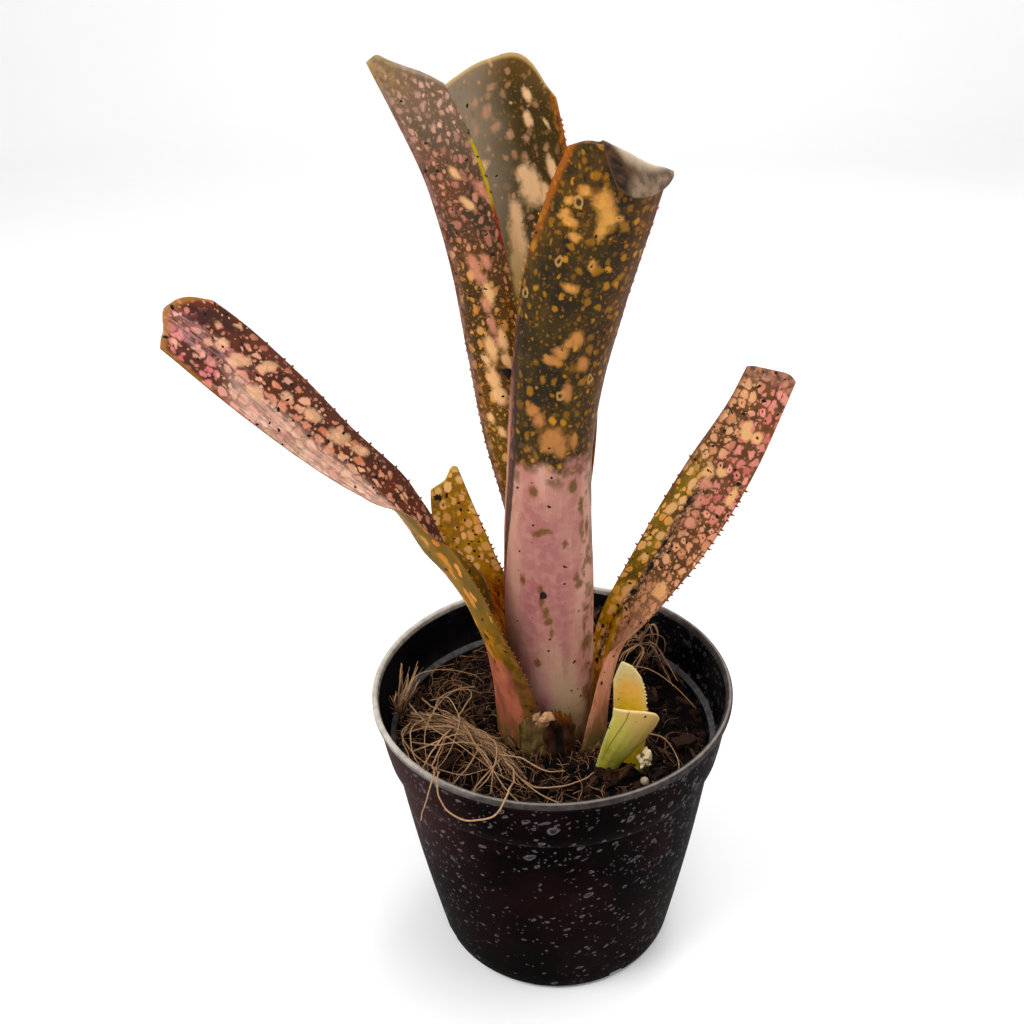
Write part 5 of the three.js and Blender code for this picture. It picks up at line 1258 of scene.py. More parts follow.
def make_pot(materials):
    rim_foot = POT_HEIGHT - RIM_LIP_HEIGHT
    outside = [(0, 0), (BASE_RADIUS - 4, 0), (BASE_RADIUS - 1.6, 0), (BASE_RADIUS - 0.5, 0.5)]
    outside += [(pot_outer(z), z) for z in (1.6, 8, 16, 24, 34, 44, 54, 64, 72, 79, 84.6)]
    outside += [(SHOULDER_RADIUS, SHOULDER_Z - 0.3), (SHOULDER_RADIUS + 0.5, SHOULDER_Z + 0.2)]
    outside += [(LEDGE_OUTER_RADIUS + WALL - 0.4, SHOULDER_Z + 0.8)]
    outside += [(LEDGE_OUTER_RADIUS + WALL, SHOULDER_Z + 1.4)]
    step = (UPPER_INNER_RADIUS - LEDGE_OUTER_RADIUS) / (rim_foot - SHOULDER_Z)
    outside += [(LEDGE_OUTER_RADIUS + WALL + step * (z - SHOULDER_Z), z) for z in (93, 99, 105)]
    outside += [(UPPER_INNER_RADIUS + WALL, rim_foot - 0.3), (RIM_RADIUS - 0.3, rim_foot)]
    outside += [(RIM_RADIUS, rim_foot + 0.3), (RIM_RADIUS, POT_HEIGHT - 0.6)]
    outside += [(RIM_RADIUS - 0.25, POT_HEIGHT - 0.12), (RIM_RADIUS - 0.7, POT_HEIGHT)]
    inside = [(UPPER_INNER_RADIUS + 0.7, POT_HEIGHT), (UPPER_INNER_RADIUS + 0.25, POT_HEIGHT - 0.3)]
    inside += [(pot_inner(z), z) for z in (107, 102, 96, LEDGE_Z + 0.9)]
    inside += [(LEDGE_OUTER_RADIUS - 0.3, LEDGE_Z + 0.4), (LEDGE_INNER_RADIUS + 0.3, LEDGE_Z - 0.2)]
    inside += [(LEDGE_INNER_RADIUS, LEDGE_Z - 0.7), (pot_inner(80), 80), (pot_inner(50), 50)]
    inside += [(pot_inner(20), 20), (pot_inner(3), 3), (pot_inner(3) - 2, BASE_PLATE), (0, BASE_PLATE)]
    profile = outside + inside
    segments = 168
    points, faces, sides = [], [], []
    for i in range(segments):
        a = i / segments * 2 * math.pi
        points += [(r * math.cos(a), r * math.sin(a), z) for r, z in profile[1:-1]]
    n = len(profile) - 2
    first_inside = len(outside) - 1
    for i in range(segments):
        k = (i + 1) % segments
        faces += [(i * n + j, k * n + j, k * n + j + 1, i * n + j + 1) for j in range(n - 1)]
        sides += [int(j >= first_inside) for j in range(n - 1)]
    bottom, top = len(points), len(points) + 1
    points += [(0, 0, 0), (0, 0, BASE_PLATE)]
    for i in range(segments):
        k = (i + 1) % segments
        faces += [(bottom, k * n, i * n), (top, i * n + n - 1, k * n + n - 1)]
        sides += [0, 1]
    pot = add_mesh("pot_shell", points, faces, materials, True, sides)
    cutters = []
    for i in range(DRAIN_HOLES):
        a = (i + 0.5) / DRAIN_HOLES * 2 * math.pi
        centre = (DRAIN_HOLE_CIRCLE * math.cos(a) * MM, DRAIN_HOLE_CIRCLE * math.sin(a) * MM, 0)
        bpy.ops.mesh.primitive_cylinder_add(vertices=40, radius=DRAIN_HOLE_RADIUS * MM, depth=10 * MM,
                                            location=centre)
        cutters.append(bpy.context.object)
    for i in range(EDGE_NOTCHES):
        turn = math.radians(EDGE_NOTCH_START + i * 360 / EDGE_NOTCHES)
        place = (BASE_RADIUS * math.cos(turn) * MM, BASE_RADIUS * math.sin(turn) * MM, 0)
        bpy.ops.mesh.primitive_cube_add(size=1, location=place, rotation=(0, 0, turn))
        cutter = bpy.context.object
        cutter.scale = (8 * MM, EDGE_NOTCH_WIDTH * MM, 2 * EDGE_NOTCH_HEIGHT * MM)
        cutters.append(cutter)
    with bpy.context.temp_override(active_object=cutters[0], selected_editable_objects=cutters):
        bpy.ops.object.join()
    cutter = cutters[0]
    cut = pot.modifiers.new("holes", "BOOLEAN")
    cut.operation = "DIFFERENCE"
    cut.solver = "EXACT"
    cut.object = cutter
    bpy.context.view_layer.update()
    graph = bpy.context.evaluated_depsgraph_get()
    finished = bpy.data.meshes.new_from_object(pot.evaluated_get(graph))
    pot.modifiers.clear()
    pot.data = finished
    bpy.data.objects.remove(cutter, do_unlink=True)
    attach(pot, "root")
    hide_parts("pot")
    return pot


def chalk_marks(m, place, density):
    """Dried drops and flecks, as strength from 0 to 1."""
    wave = m.scaled(m.moved(m.noise_vector(place, 0.3, 1.0), (-0.5, -0.5, -0.5)), (2.6, 2.6, 2.6))
    bent = m.moved(place, wave)
    slanted = m.node("VectorRotate", {"Vector": bent, "Angle": 0.5}, output="Vector", rotation_type="Y_AXIS")
    slanted = m.scaled(slanted, (0.66, 1, 1.1))
    high = m.step(m.axis(place, "Z"), 40, 90, 0.1, 1.0)
    large = flecks(m, slanted, 4.6, m.times(m.times(density, high), 0.55), 3, 0.12, 0.26, 0.3, 0.8)
    medium = flecks(m, slanted, 2.8, m.times(density, 0.55), 19, 0.12, 0.26, 0.3, 0.6)
    small = flecks(m, bent, 1.7, m.times(density, 0.6), 41, 0.14, 0.24)
    chalk = m.math("MAXIMUM", m.times(large, 0.95), m.math("MAXIMUM", medium, m.times(small, 0.6)))
    thin = m.step(m.noise(bent, 0.9, 3.0), 0.3, 0.62, 0.3, 1.0)
    return m.times(chalk, thin)


# The rim's scuffed grey on the left and at the back, painted paler there as painted light.
SCUFF_PAINTED_LIT_SIDE = srgb(140, 133, 126)


def rim_colour(m, place, z, colour):
    """The worn grey lip over colour, painted palest on the left and at the back as painted light, with a painted
    highlight along its crest.
    """
    scuff = m.step(m.noise(place, 0.3, 5.0, 0.7), 0.3, 0.7)
    rim = m.step(z, POT_HEIGHT - RIM_LIP_HEIGHT - 0.2, POT_HEIGHT - RIM_LIP_HEIGHT + 0.5)
    crest = m.step(z, POT_HEIGHT - 1.0, POT_HEIGHT - 0.3)
    # The left and back of the rim are painted paler: painted light over the real scuffed grey.
    far = m.math("MULTIPLY_ADD", m.axis(place, "X"), -0.8, m.times(m.axis(place, "Y"), 0.6))
    far = m.step(far, -30, 30)
    radius = m.node("VectorMath", {0: m.scaled(place, (1, 1, 0))}, output="Value", operation="LENGTH")
    line = band(m, radius, RIM_RADIUS - 1.1, RIM_RADIUS - 0.6, 0.3)
    crest = m.times(crest, m.math("MAXIMUM", far, line))
    worn = m.mix(far, m.mix(scuff, srgb(44, 39, 38), srgb(70, 64, 61)), m.mix(scuff, srgb(96, 90, 84), SCUFF_PAINTED_LIT_SIDE))
    # Painted highlight along the crest, all round its outer edge and over the whole crest at the left and back.
    bright = m.mix(far, srgb(122, 115, 109), srgb(186, 178, 168))
    worn = m.mix(m.times(crest, m.step(scuff, 0, 1, 0.65, 1.0)), worn, bright)
    return m.mix(rim, colour, worn)


def pot_outside():
    """Near-black maroon plastic with chalky water marks."""
    m = Shader("pot_outside")
    place = m.scaled(m.node("TexCoord", output="Object"), (1000, 1000, 1000))
    x, z = m.axis(place, "X"), m.axis(place, "Z")
    base = blend(m, place, 0.03, srgb(2, 0, 0), srgb(20, 4, 5))
    # Painted shade: the outside is darker towards the bottom.
    base = m.mix(m.times(m.step(z, 70, 10), 0.6), base, srgb(3, 1, 1))
    # Painted light: a lighter maroon sheen on the upper left of the wall.
    left = m.times(m.step(x, -20, -55), m.step(z, 40, 80))
    base = m.mix(m.times(left, 0.8), base, srgb(50, 28, 25))
    right = m.step(x, -30, 45)
    cloud = m.step(m.noise(place, 0.04, 2.0), 0.4, 0.62)
    density = m.plus(m.times(right, 0.5), m.math("MULTIPLY_ADD", cloud, 0.55, 0.2))
    density = m.times(density, m.step(z, 0, 70, 0.6, 1.0))
    chalk = chalk_marks(m, place, density)
    film = m.times(m.step(m.noise(m.scaled(place, (1, 1, 0.5)), 0.06, 4.0, 0.7), 0.54, 0.72), 0.02)
    colour = m.mix(film, base, srgb(104, 92, 96))
    colour = m.mix(m.times(chalk, 0.5), colour, srgb(134, 126, 132))
    shoulder = band(m, z, SHOULDER_Z - 0.6, SHOULDER_Z + 1.4, 0.6)
    worn = m.step(m.noise(place, 0.3, 4.0, 0.7), 0.45, 0.7)
    colour = m.mix(m.times(m.times(shoulder, worn), 0.3), colour, srgb(104, 92, 92))
    colour = rim_colour(m, place, z, colour)
    fine = m.noise(place, 1.1, 4.0, 0.65)
    height = m.plus(m.times(fine, 0.35), m.times(chalk, 0.6))
    rough = m.math("MAXIMUM", m.math("MULTIPLY_ADD", fine, 0.3, 0.38), m.times(chalk, 0.7))
    m.put(m.surface.inputs["Specular IOR Level"], 0.008)
    return m.finish(colour, rough, height, 0.3, 0.25)


def pot_inside():
    """Black inside, with bluish marks on the right wall and a scuffed ledge."""
    m = Shader("pot_inside")
    place = m.scaled(m.node("TexCoord", output="Object"), (1000, 1000, 1000))
    x, z = m.axis(place, "X"), m.axis(place, "Z")
    base = blend(m, place, 0.05, srgb(8, 7, 8), srgb(18, 16, 17))
    chalk = chalk_marks(m, place, m.step(x, 5, 45, 0.1, 1.0))
    colour = m.mix(m.times(chalk, m.step(x, 0, 45, 0.15, 0.55)), base, srgb(92, 96, 104))
    scuff = m.step(m.noise(place, 0.5, 4.0, 0.65), 0.35, 0.65, 0.5, 0.95)
    ledge = band(m, z, LEDGE_Z - 0.8, LEDGE_Z + 0.4, 0.3)
    colour = m.mix(m.times(ledge, scuff), colour, srgb(86, 84, 84))
    colour = rim_colour(m, place, z, colour)
    fine = m.noise(place, 1.1, 4.0, 0.65)
    m.put(m.surface.inputs["Specular IOR Level"], 0.008)
    return m.finish(colour, m.math("MULTIPLY_ADD", fine, 0.3, 0.45), fine, 0.25, 0.2)


# Potting mix

def hump(x, y, cx, cy, sx, sy, height):
    return height * np.exp(-(x - cx) ** 2 / (2 * sx * sx) - (y - cy) ** 2 / (2 * sy * sy))


def soil_top(x, y):
    z = SOIL_LEVEL + hump(x, y, 2, -27, 13, 9, 6.5) + hump(x, y, 24, 54, 16, 12, 17)
    z = z + hump(x, y, -34, -20, 15, 15, 3) + hump(x, y, -28, 30, 20, 16, 1.5)
    z = z - hump(x, y, 48, -10, 12, 18, 2.5)
    return z + 0.5 * np.sin(x * 0.31 + 1.3) * np.cos(y * 0.27 - 0.6)


def rough_soil(x, y):
    z = float(soil_top(x, y))
    place = Vector((x, y, 0))
    z += 1.3 * noise.fractal(place * 0.16, 0.8, 2.1, 4)
    return z + 0.5 * abs(noise.noise(place * 0.9))


def make_soil(material):
    """The rough top of the mix, and its edge down the wall."""
    turns, rings = 300, 96
    inner = 12.5
    points = []
    for i in range(turns):
        a = i / turns * 2 * math.pi
        c, s = math.cos(a), math.sin(a)
        edge_z = float(soil_top(57 * c, 57 * s))
        high = edge_z > LEDGE_Z + 0.6
        edge = pot_inner(edge_z) - 0.3 if high else min(pot_inner(edge_z), LEDGE_INNER_RADIUS) - 0.25
        for j in range(rings):
            r = inner + (edge - inner) * j / (rings - 1)
            points.append((r * c, r * s, rough_soil(r * c, r * s)))
        points.append((edge * c, edge * s, LEDGE_Z + 0.5 if high else edge_z - 6))
    n = rings + 1
    faces = []
    for i in range(turns):
        k = (i + 1) % turns
        faces += [(i * n + j, k * n + j, k * n + j + 1, i * n + j + 1) for j in range(n - 1)]
    middle = len(points)
    points.append((0, 0, float(soil_top(0, 0))))
    for i in range(turns):
        faces.append((middle, ((i + 1) % turns) * n, i * n))
    soil = add_mesh("potting_mix", points, faces, [material], tone=np.zeros(len(points)))
    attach(soil, "root")
    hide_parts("soil")


def in_pot(x, y, z, margin=0.6):
    """The point, moved in from the wall where it is too close."""
    r = math.hypot(x, y)
    most = pot_inner(min(z, POT_HEIGHT)) - margin
    if z < LEDGE_Z + margin:
        most = min(most, LEDGE_INNER_RADIUS - margin)
    if r > most:
        x, y = x * most / r, y * most / r
    return x, y, z


def clear_of_leaves(x, y):
    """False where the leaf bases and the pup stand."""
    return math.hypot(x / 20, (y + 2) / 21) > 1 and math.hypot((x - 25) / 7, (y + 24) / 7) > 1


def random_place(reach=59, lean=0.0):
    """A place on the soil. lean above 0 brings it to the left and front."""
    while True:
        r = reach * math.sqrt(rng.random())
        a = rng.random() * 2 * math.pi
        x, y = r * math.cos(a), r * math.sin(a)
        chance = 0.5 - lean * (0.5 * x + 0.3 * y) / reach
        if clear_of_leaves(x, y) and rng.random() < chance:
            return x, y


def lump(centre, radii, turn, roughness, detail=1, tilt=0.0):
    """Points and faces of an irregular lump."""
    ball = bmesh.new()
    bmesh.ops.create_icosphere(ball, subdivisions=detail, radius=1)
    shift = Vector((rng.random() * 50, rng.random() * 50, 0))
    rotate = Matrix.Rotation(turn, 3, "Z") @ Matrix.Rotation(tilt, 3, "Y")
    points = []
    for vertex in ball.verts:
        place = vertex.co * (1 + roughness * noise.noise(vertex.co * 1.4 + shift))
        place = Vector((place.x * radii[0], place.y * radii[1], place.z * radii[2]))
        points.append(tuple(rotate @ place + Vector(centre)))
    faces = [tuple(v.index for v in face.verts) for face in ball.faces]
    ball.free()
    return points, faces


def make_crumbs(material):
    """Lumps of the mix, larger and chunkier to the right."""
    crumbs = Soup()
    for _ in range(1500):
        x, y = random_place(60)
        size = 0.5 + 1.5 * rng.random() ** 2.2
        size *= 1.25 if x > 5 else 1
        x, y, z = in_pot(x, y, rough_soil(x, y), size + 0.3)
        radii = [size * rng.uniform(0.6, 1.25), size * rng.uniform(0.5, 1), size * rng.uniform(0.4, 0.8)]
        crumbs.add(*lump((x, y, z + size * 0.15), radii, rng.random() * 6, 0.8), rng.random())
    made = crumbs.build("mix_crumbs", material, False)
    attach(made, "root")


def chip(centre, length, width, height, turn, tilt):
    """A split piece of bark: a rough bar with stepped, broken ends."""
    points, faces = [], []
    rows, ring = 9, 8
    shift = rng.random() * 60
    rotate = Matrix.Rotation(turn, 3, "Z") @ Matrix.Rotation(tilt, 3, "Y")
    for i in range(rows):
        t = i / (rows - 1)
        taper = 0.55 + 0.45 * math.sin(math.pi * min(max(t, 0.08), 0.92)) ** 0.6
        for j in range(ring):
            a = (j + 0.5) / ring * 2 * math.pi
            y = math.copysign(abs(math.cos(a)) ** 0.6, math.cos(a)) * width / 2
            z = math.copysign(abs(math.sin(a)) ** 0.6, math.sin(a)) * height / 2
            bump = 1 + 0.5 * noise.noise(Vector((t * 3 + shift, j * 1.7, 0)))
            ragged_end = noise.noise(Vector((j * 2.3, shift, i // 8))) * 0.08
            place = Vector(((t - 0.5 + ragged_end) * length, y * bump * taper, z * bump * taper))
            points.append(tuple(rotate @ place + Vector(centre)))
    for i in range(rows - 1):
        for j in range(ring):
            k = (j + 1) % ring
            faces.append((i * ring + j, (i + 1) * ring + j, (i + 1) * ring + k, i * ring + k))
    faces.append(tuple(range(ring)))
    faces.append(tuple((rows - 1) * ring + j for j in reversed(range(ring))))
    return points, faces


def make_chips(material):
    """The four large bark chips of the CAD, and the small ones round them."""
    for name, (x, y, length, width, height, turn) in CHIPS.items():
        low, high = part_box(name)
        z = (low[2] + high[2]) / 2 / MM
        soup = Soup()
        soup.add(*chip((x, y, z), length, width * 0.95, height * 1.1, math.radians(turn), 0.0), rng.random())
        made = soup.build(name + "_wood", material, False)
        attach(made, "root")
        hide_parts(name)
    scattered = Soup()
    for _ in range(70):
        x, y = random_place(55)
        length = rng.uniform(3, 9)
        width = rng.uniform(1.2, 3)
        height = rng.uniform(0.8, 1.8)
        x, y, z = in_pot(x, y, rough_soil(x, y) + height * 0.3, length / 2)
        tilt = rng.uniform(-0.4, 0.4)
        scattered.add(*chip((x, y, z), length, width, height, rng.random() * 6.3, tilt), rng.random())
    made = scattered.build("small_chips", material, False)
    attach(made, "root")


def make_pellet_and_stub(grit, stub_material):
    soup = Soup()
    low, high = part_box("pellet")
    centre = [(a + b) / 2 / MM for a, b in zip(low, high)]
    soup.add(*lump(centre, (1.5, 1.45, 1.4), 0.3, 0.12, 3), 0.5)
    made = soup.build("pellet_grain", grit)
    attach(made, "root")
    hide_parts("pellet")
    low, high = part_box("pup_stub")
    x, y = (low[0] + high[0]) / 2 / MM, (low[1] + high[1]) / 2 / MM
    z0, z1 = low[2] / MM, high[2] / MM
    rows = [(0, 1.6), (0.2, 1.8), (0.45, 1.8), (0.7, 1.8), (0.9, 1.6), (1, 1.2), (1.0, 0.6), (0.93, 0.15)]
    points, faces = [], []
    ring = 20
    for t, radius in rows:
        for j in range(ring):
            a = j / ring * 2 * math.pi
            r = radius * (1 + 0.22 * noise.noise(Vector((math.cos(a) * 1.3, math.sin(a) * 1.3, t * 3))))
            top = 1.1 * noise.noise(Vector((math.cos(a), math.sin(a), 9))) if t > 0.6 else 0
            points.append((x + r * math.cos(a), y + r * math.sin(a), z0 + (z1 - z0) * t + top))
    for i in range(len(rows) - 1):
        for j in range(ring):
            k = (j + 1) % ring
            faces.append((i * ring + j, i * ring + k, (i + 1) * ring + k, (i + 1) * ring + j))
    faces.append(tuple(reversed(range(ring))))
    faces.append(tuple((len(rows) - 1) * ring + j for j in range(ring)))
    soup = Soup()
    soup.add(points, faces, 0.0)
    for _ in range(8):
        a = rng.random() * 6.3
        place = (x + 1.1 * math.cos(a), y + 1.1 * math.sin(a), z1 - rng.uniform(0.4, 4.2))
        soup.add(*lump(place, [rng.uniform(1.0, 1.7) for _ in range(3)], a, 1.0, 3), rng.uniform(0.6, 0.9))
    made = soup.build("pup_stub_base", stub_material)
    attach(made, "root")
    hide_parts("pup_stub")


# Coir

def wobbled(path, reach, scale=0.12):
    """A path with small random bends."""
    shift = rng.random() * 90
    moved = []
    for i, (x, y, z) in enumerate(path):
        fade = min(1, i / 4)
        a = noise.noise_vector(Vector((x * scale + shift, y * scale, z * scale)))
        moved.append((x + a.x * reach * fade, y + a.y * reach * fade, z + a.z * reach * fade * 0.6))
    return np.array(moved)


def clear_of_pot(path, radius):
    """Keeps a strand out of the wall, the ledge and the soil, but lets it pass over the rim."""
    kept = []
    for x, y, z in path:
        r = math.hypot(x, y)
        if z < POT_HEIGHT + radius and r < RIM_RADIUS - 1.2:
            x, y, z = in_pot(x, y, z, radius + 0.15)
        if r < RIM_RADIUS - 2:
            z = max(z, rough_soil(x, y) + radius * 0.4)
        kept.append((x, y, z))
    return np.array(kept)


def strand(soup, path, root, end, sides=5, tone=None):
    count = len(path)
    radii = root + (end - root) * np.linspace(0, 1, count)
    soup.add(*tube(clear_of_pot(path, root), radii, sides), rng.random() if tone is None else tone)


def make_wad(material):
    """The bundle of coir on the left, its loops over the rim and its loose ends."""
    soup = Soup()
    drop = np.array((0, 0, -1.3))
    spine = smooth_path([p[:3] for p in WAD], 60) + drop
    thickness = np.interp(np.linspace(0, 1, 60), np.linspace(0, 1, len(WAD)), [p[3] for p in WAD])
    for _ in range(130):
        start = rng.uniform(0, 0.4)
        stop = rng.uniform(0.6, 1.0)
        angle = rng.random() * 2 * math.pi
        spread = math.sqrt(rng.random()) * 0.95
        turn = rng.uniform(-4, 4)
        picks = np.linspace(start, stop, 22)
        path = []
        for k, t in enumerate(picks):
            i = int(t * 59)
            along = spine[min(i + 1, 59)] - spine[max(i - 1, 0)]
            along /= np.linalg.norm(along)
            side = np.cross(along, (0, 0, 1))
            side /= np.linalg.norm(side)
            lift = np.cross(side, along)
            fray = 1 + 1.3 * max(0, (k - 16) / 6) ** 2 + 0.8 * max(0, (5 - k) / 5) ** 2
            a = angle + turn * t
            r = thickness[i] * spread * fray
            path.append(spine[i] + side * math.cos(a) * r + lift * math.sin(a) * r * 0.8)
        reach = rng.choice((0.8, 1.4, 2.4))
        strand(soup, wobbled(path, reach, rng.choice((0.1, 0.2))), rng.uniform(0.1, 0.3), 0.08, 5)
    for line in WAD_FIBRES:
        path = smooth_path(line, 12 * len(line)) + drop
        soup.add(*tube(wobbled(path, 0.5, 0.2), np.linspace(0.33, 0.2, len(path)), 7), rng.uniform(0.5, 0.9))
    for line in LOOSE_FIBRES:
        strand(soup, wobbled(smooth_path(line, 9 * len(line)), 0.5), 0.26, 0.12, 6, 0.65)
    made = soup.build("coir_bundle", material)
    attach(made, "root")
    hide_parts("coir_wad")


def make_tuft(material):
    """The upright broken bunch at the left wall."""
    soup = Soup()
    drop = np.array((0, 0, -1.8))
    for line in TUFT_FIBRES:
        path = smooth_path(line, 10 * len(line)) + drop
        soup.add(*tube(path, np.linspace(0.4, 0.2, len(path)), 6), 0.7)
        for _ in range(5):
            reach = rng.uniform(0.5, 0.95)
            part = path[:int(len(path) * reach)]
            push = np.array((rng.uniform(-1, 1.4), rng.uniform(-1.6, 1.6), rng.uniform(-0.5, 1)))
            bent = part + np.linspace(0, 1, len(part))[:, None] ** 1.5 * push * 2.2
            strand(soup, wobbled(bent, 0.7), rng.uniform(0.2, 0.36), 0.1, 5)
    root = np.array(TUFT[:3]) + drop
    for _ in range(26):
        a = rng.random() * 2 * math.pi
        reach = rng.uniform(1.2, 5)
        up = rng.uniform(1, 9)
        end = root + (reach * math.cos(a), reach * math.sin(a), up)
        foot = root + (0.8 * math.cos(a + 2), 0.8 * math.sin(a + 2), -1.2)
        strand(soup, wobbled(smooth_path([foot, root + (0, 0, 1), end], 12), 0.6), 0.32, 0.12, 5)
    made = soup.build("coir_tuft_strands", material)
    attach(made, "root")
    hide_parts("coir_tuft")


def make_back_fibres(material):
    """Curled roots at the back, on the right."""
    soup = Soup()
    drop = np.array((0, 0, -1.0))
    for line in BACK_FIBRES:
        path = smooth_path(line, 12 * len(line)) + drop
        soup.add(*tube(path, np.linspace(0.4, 0.22, len(path)), 6), 0.6)
        for _ in range(4):
            push = np.array((rng.uniform(-3, 3), rng.uniform(-4, 2), rng.uniform(-1, 2)))
            bent = path + np.sin(np.linspace(0, 1.6, len(path)))[:, None] * push
            strand(soup, wobbled(bent, 1.2), 0.2, 0.1, 5)
    root = np.array(BACK_ROOT[:3]) + drop
    for _ in range(14):
        turn = rng.uniform(0, 2 * math.pi)
        size = rng.uniform(2, 5)
        lean = rng.uniform(-0.6, 0.6)
        arc = np.linspace(0, rng.uniform(3, 5.4), 20)
        path = [root + (size * (1 - math.cos(a)) * math.cos(turn) + lean * a, -0.4 * a
                        + size * (1 - math.cos(a)) * math.sin(turn) * 0.5, size * math.sin(a)) for a in arc]
        strand(soup, wobbled(path, 0.8), 0.22, 0.1, 5)
    made = soup.build("coir_back_strands", material)
    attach(made, "root")
    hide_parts("coir_back")


def make_litter(material):
    """Thin fibres lying over the whole surface, most of them on the left and at the front."""
    soup = Soup()
    for k in range(900):
        long = k % 9 == 0
        x, y = random_place(58, 1.3 if long else 0.9)
        heading = rng.random() * 2 * math.pi
        step = rng.uniform(1.4, 2.6) if long else rng.uniform(0.5, 1.6)
        bend = rng.uniform(-0.32, 0.32)
        lift = rng.uniform(0.5, 4.2) if long else rng.uniform(0, 1.2)
        count = 16 if long else 8
        path = []
        for i in range(count):
            t = i / (count - 1)
            x += math.cos(heading) * step
            y += math.sin(heading) * step
            heading += bend + rng.uniform(-0.25, 0.25)
            if math.hypot(x, y) > 57 or not clear_of_leaves(x, y):
                heading += 1.3
            ground = rough_soil(x, y)
            path.append((x, y, ground + 0.15 + lift * math.sin(math.pi * t)))
        if all(clear_of_leaves(px, py) for px, py, pz in path):
            thick = rng.uniform(0.12, 0.24)
            strand(soup, np.array(path), thick, thick * 0.5, 4)
    made = soup.build("coir_litter", material)
    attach(made, "root")


def make_mound_roots(material):
    """Matted roots and lumps on the mound at the back."""
    soup = Soup()
    for _ in range(130):
        x = rng.gauss(24, 12)
        y = rng.gauss(50, 9)
        x, y, z = in_pot(x, y, rough_soil(x, y), 1.2)
        radii = [rng.uniform(0.8, 2.4), rng.uniform(0.7, 1.6), rng.uniform(0.5, 1.3)]
        if math.hypot(x, y) < 61:
            soup.add(*lump((x, y, z), radii, rng.random() * 6, 0.9), rng.uniform(0, 0.6))
    made = soup.build("mound_lumps", material, False)
    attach(made, "root")


def make_crumb(material):
    """The pale broken lump at the top of the bract."""
    soup = Soup()
    x, y, z, radius = BRACT_CRUMB
    for _ in range(8):
        place = (x + rng.uniform(-1.7, 2.6), y + rng.uniform(-0.8, 0.5), z + rng.uniform(-1.3, 1.5))
        size = radius * rng.uniform(0.45, 0.7)
        radii = (size * rng.uniform(0.9, 1.5), size * 0.8, size * rng.uniform(0.6, 1.0))
        soup.add(*lump(place, radii, rng.random() * 6, 0.9, 3), rng.random())
    made = soup.build("bract_crumb", material)
    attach(made, "root")


def make_base_fibres(material):
    """Fine fibres that stand and lie round the foot of the leaves at the front."""
    soup = Soup()
    for _ in range(130):
        a = math.radians(rng.uniform(195, 345))
        r = rng.uniform(19, 25)
        x, y = r * math.cos(a), r * math.sin(a)
        foot = Vector((x, y, rough_soil(x, y)))
        reach = rng.uniform(3, 10)
        turn = a + rng.uniform(-1.6, 1.6)
        up = rng.uniform(0.5, 6)
        top = foot + Vector((reach * 0.5 * math.cos(turn), reach * 0.5 * math.sin(turn), up))
        x, y = x + reach * math.cos(turn), y + reach * math.sin(turn)
        if math.hypot(x, y) < 19:
            continue
        end = Vector((x, y, rough_soil(x, y) + rng.uniform(0, 1.5)))
        path = wobbled(smooth_path([tuple(foot), tuple(top), tuple(end)], 14), 0.9)
        strand(soup, path, rng.uniform(0.14, 0.26), 0.09, 4)
    made = soup.build("base_fibres", material)
    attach(made, "root")


def make_crown(material):
    """The short stem from which the leaves grow: its own solid already has the right shape."""
    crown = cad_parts["crown"]
    crown.data.materials.clear()
    crown.data.materials.append(material)


def toned_material(name, dark, light, rough=0.85, grain=1.2, stretch=1.0, patch=None, bump=0.6, reach=0.4):
    """Dry matter whose pieces differ in tone."""
    m = Shader(name)
    place = m.scaled(m.node("TexCoord", output="Object"), (1000, 1000, 1000))
    tone = m.number("tone")
    fine = m.noise(m.scaled(place, (1, 1, 1 / stretch)), grain, 4.0, 0.65)
    share = m.math("MULTIPLY_ADD", fine, 0.9, m.math("MULTIPLY_ADD", tone, 0.8, -0.4), clamp=True)
    colour = m.mix(share, dark, light)
    if patch:
        colour = m.mix(m.times(m.step(m.noise(place, grain * 0.3, 3.0), 0.52, 0.66), 0.6), colour, patch)
    m.put(m.surface.inputs["Specular IOR Level"], 0.08)
    return m.finish(colour, rough, fine, bump, reach)


FLOOR_REACH = 2600
FLOOR_CURVE = 700
FLOOR_TOP = 1700


def build_floor():
    """A sheet of pale paper that rises in a wide curve all round."""
    m = Shader("floor_paper")
    place = m.node("TexCoord", output="Object")
    tint = m.mix(m.noise(place, 3, 2.0), (0.92, 0.92, 0.92), (0.9, 0.9, 0.9))
    material = m.finish(tint, 0.95)
    rings = [0.0, 300, 900, FLOOR_REACH]
    rings += [FLOOR_REACH + FLOOR_CURVE * math.sin(a / 12 * math.pi / 2) for a in range(1, 13)]
    heights = [0, 0, 0, 0] + [FLOOR_CURVE * (1 - math.cos(a / 12 * math.pi / 2)) for a in range(1, 13)]
    rings.append(rings[-1])
    heights.append(FLOOR_TOP)
    turns = 64
    points = [(0, 0, 0)]
    for r, z in list(zip(rings, heights))[1:]:
        points += [(r * math.cos(i / turns * 2 * math.pi), r * math.sin(i / turns * 2 * math.pi), z)
                   for i in range(turns)]
    faces = [(0, 1 + i, 1 + (i + 1) % turns) for i in range(turns)]
    for row in range(len(rings) - 2):
        for i in range(turns):
            k = (i + 1) % turns
            a, b = 1 + row * turns, 1 + (row + 1) * turns
            faces.append((a + i, b + i, b + k, a + k))
    floor = add_mesh("floor", points, faces, [material])
    floor.location.z = cad_box[0][2] - 0.0002


def add_light(name, place, target, size, power, colour=(1, 1, 1)):
    data = bpy.data.lights.new(name, "AREA")
    data.shape = "DISK"
    data.size = size
    data.energy = power
    data.color = colour
    light = bpy.data.objects.new(name, data)
    light.location = place
    light.rotation_euler = (Vector(target) - Vector(place)).to_track_quat("-Z", "Y").to_euler()
    bpy.context.scene.collection.objects.link(light)


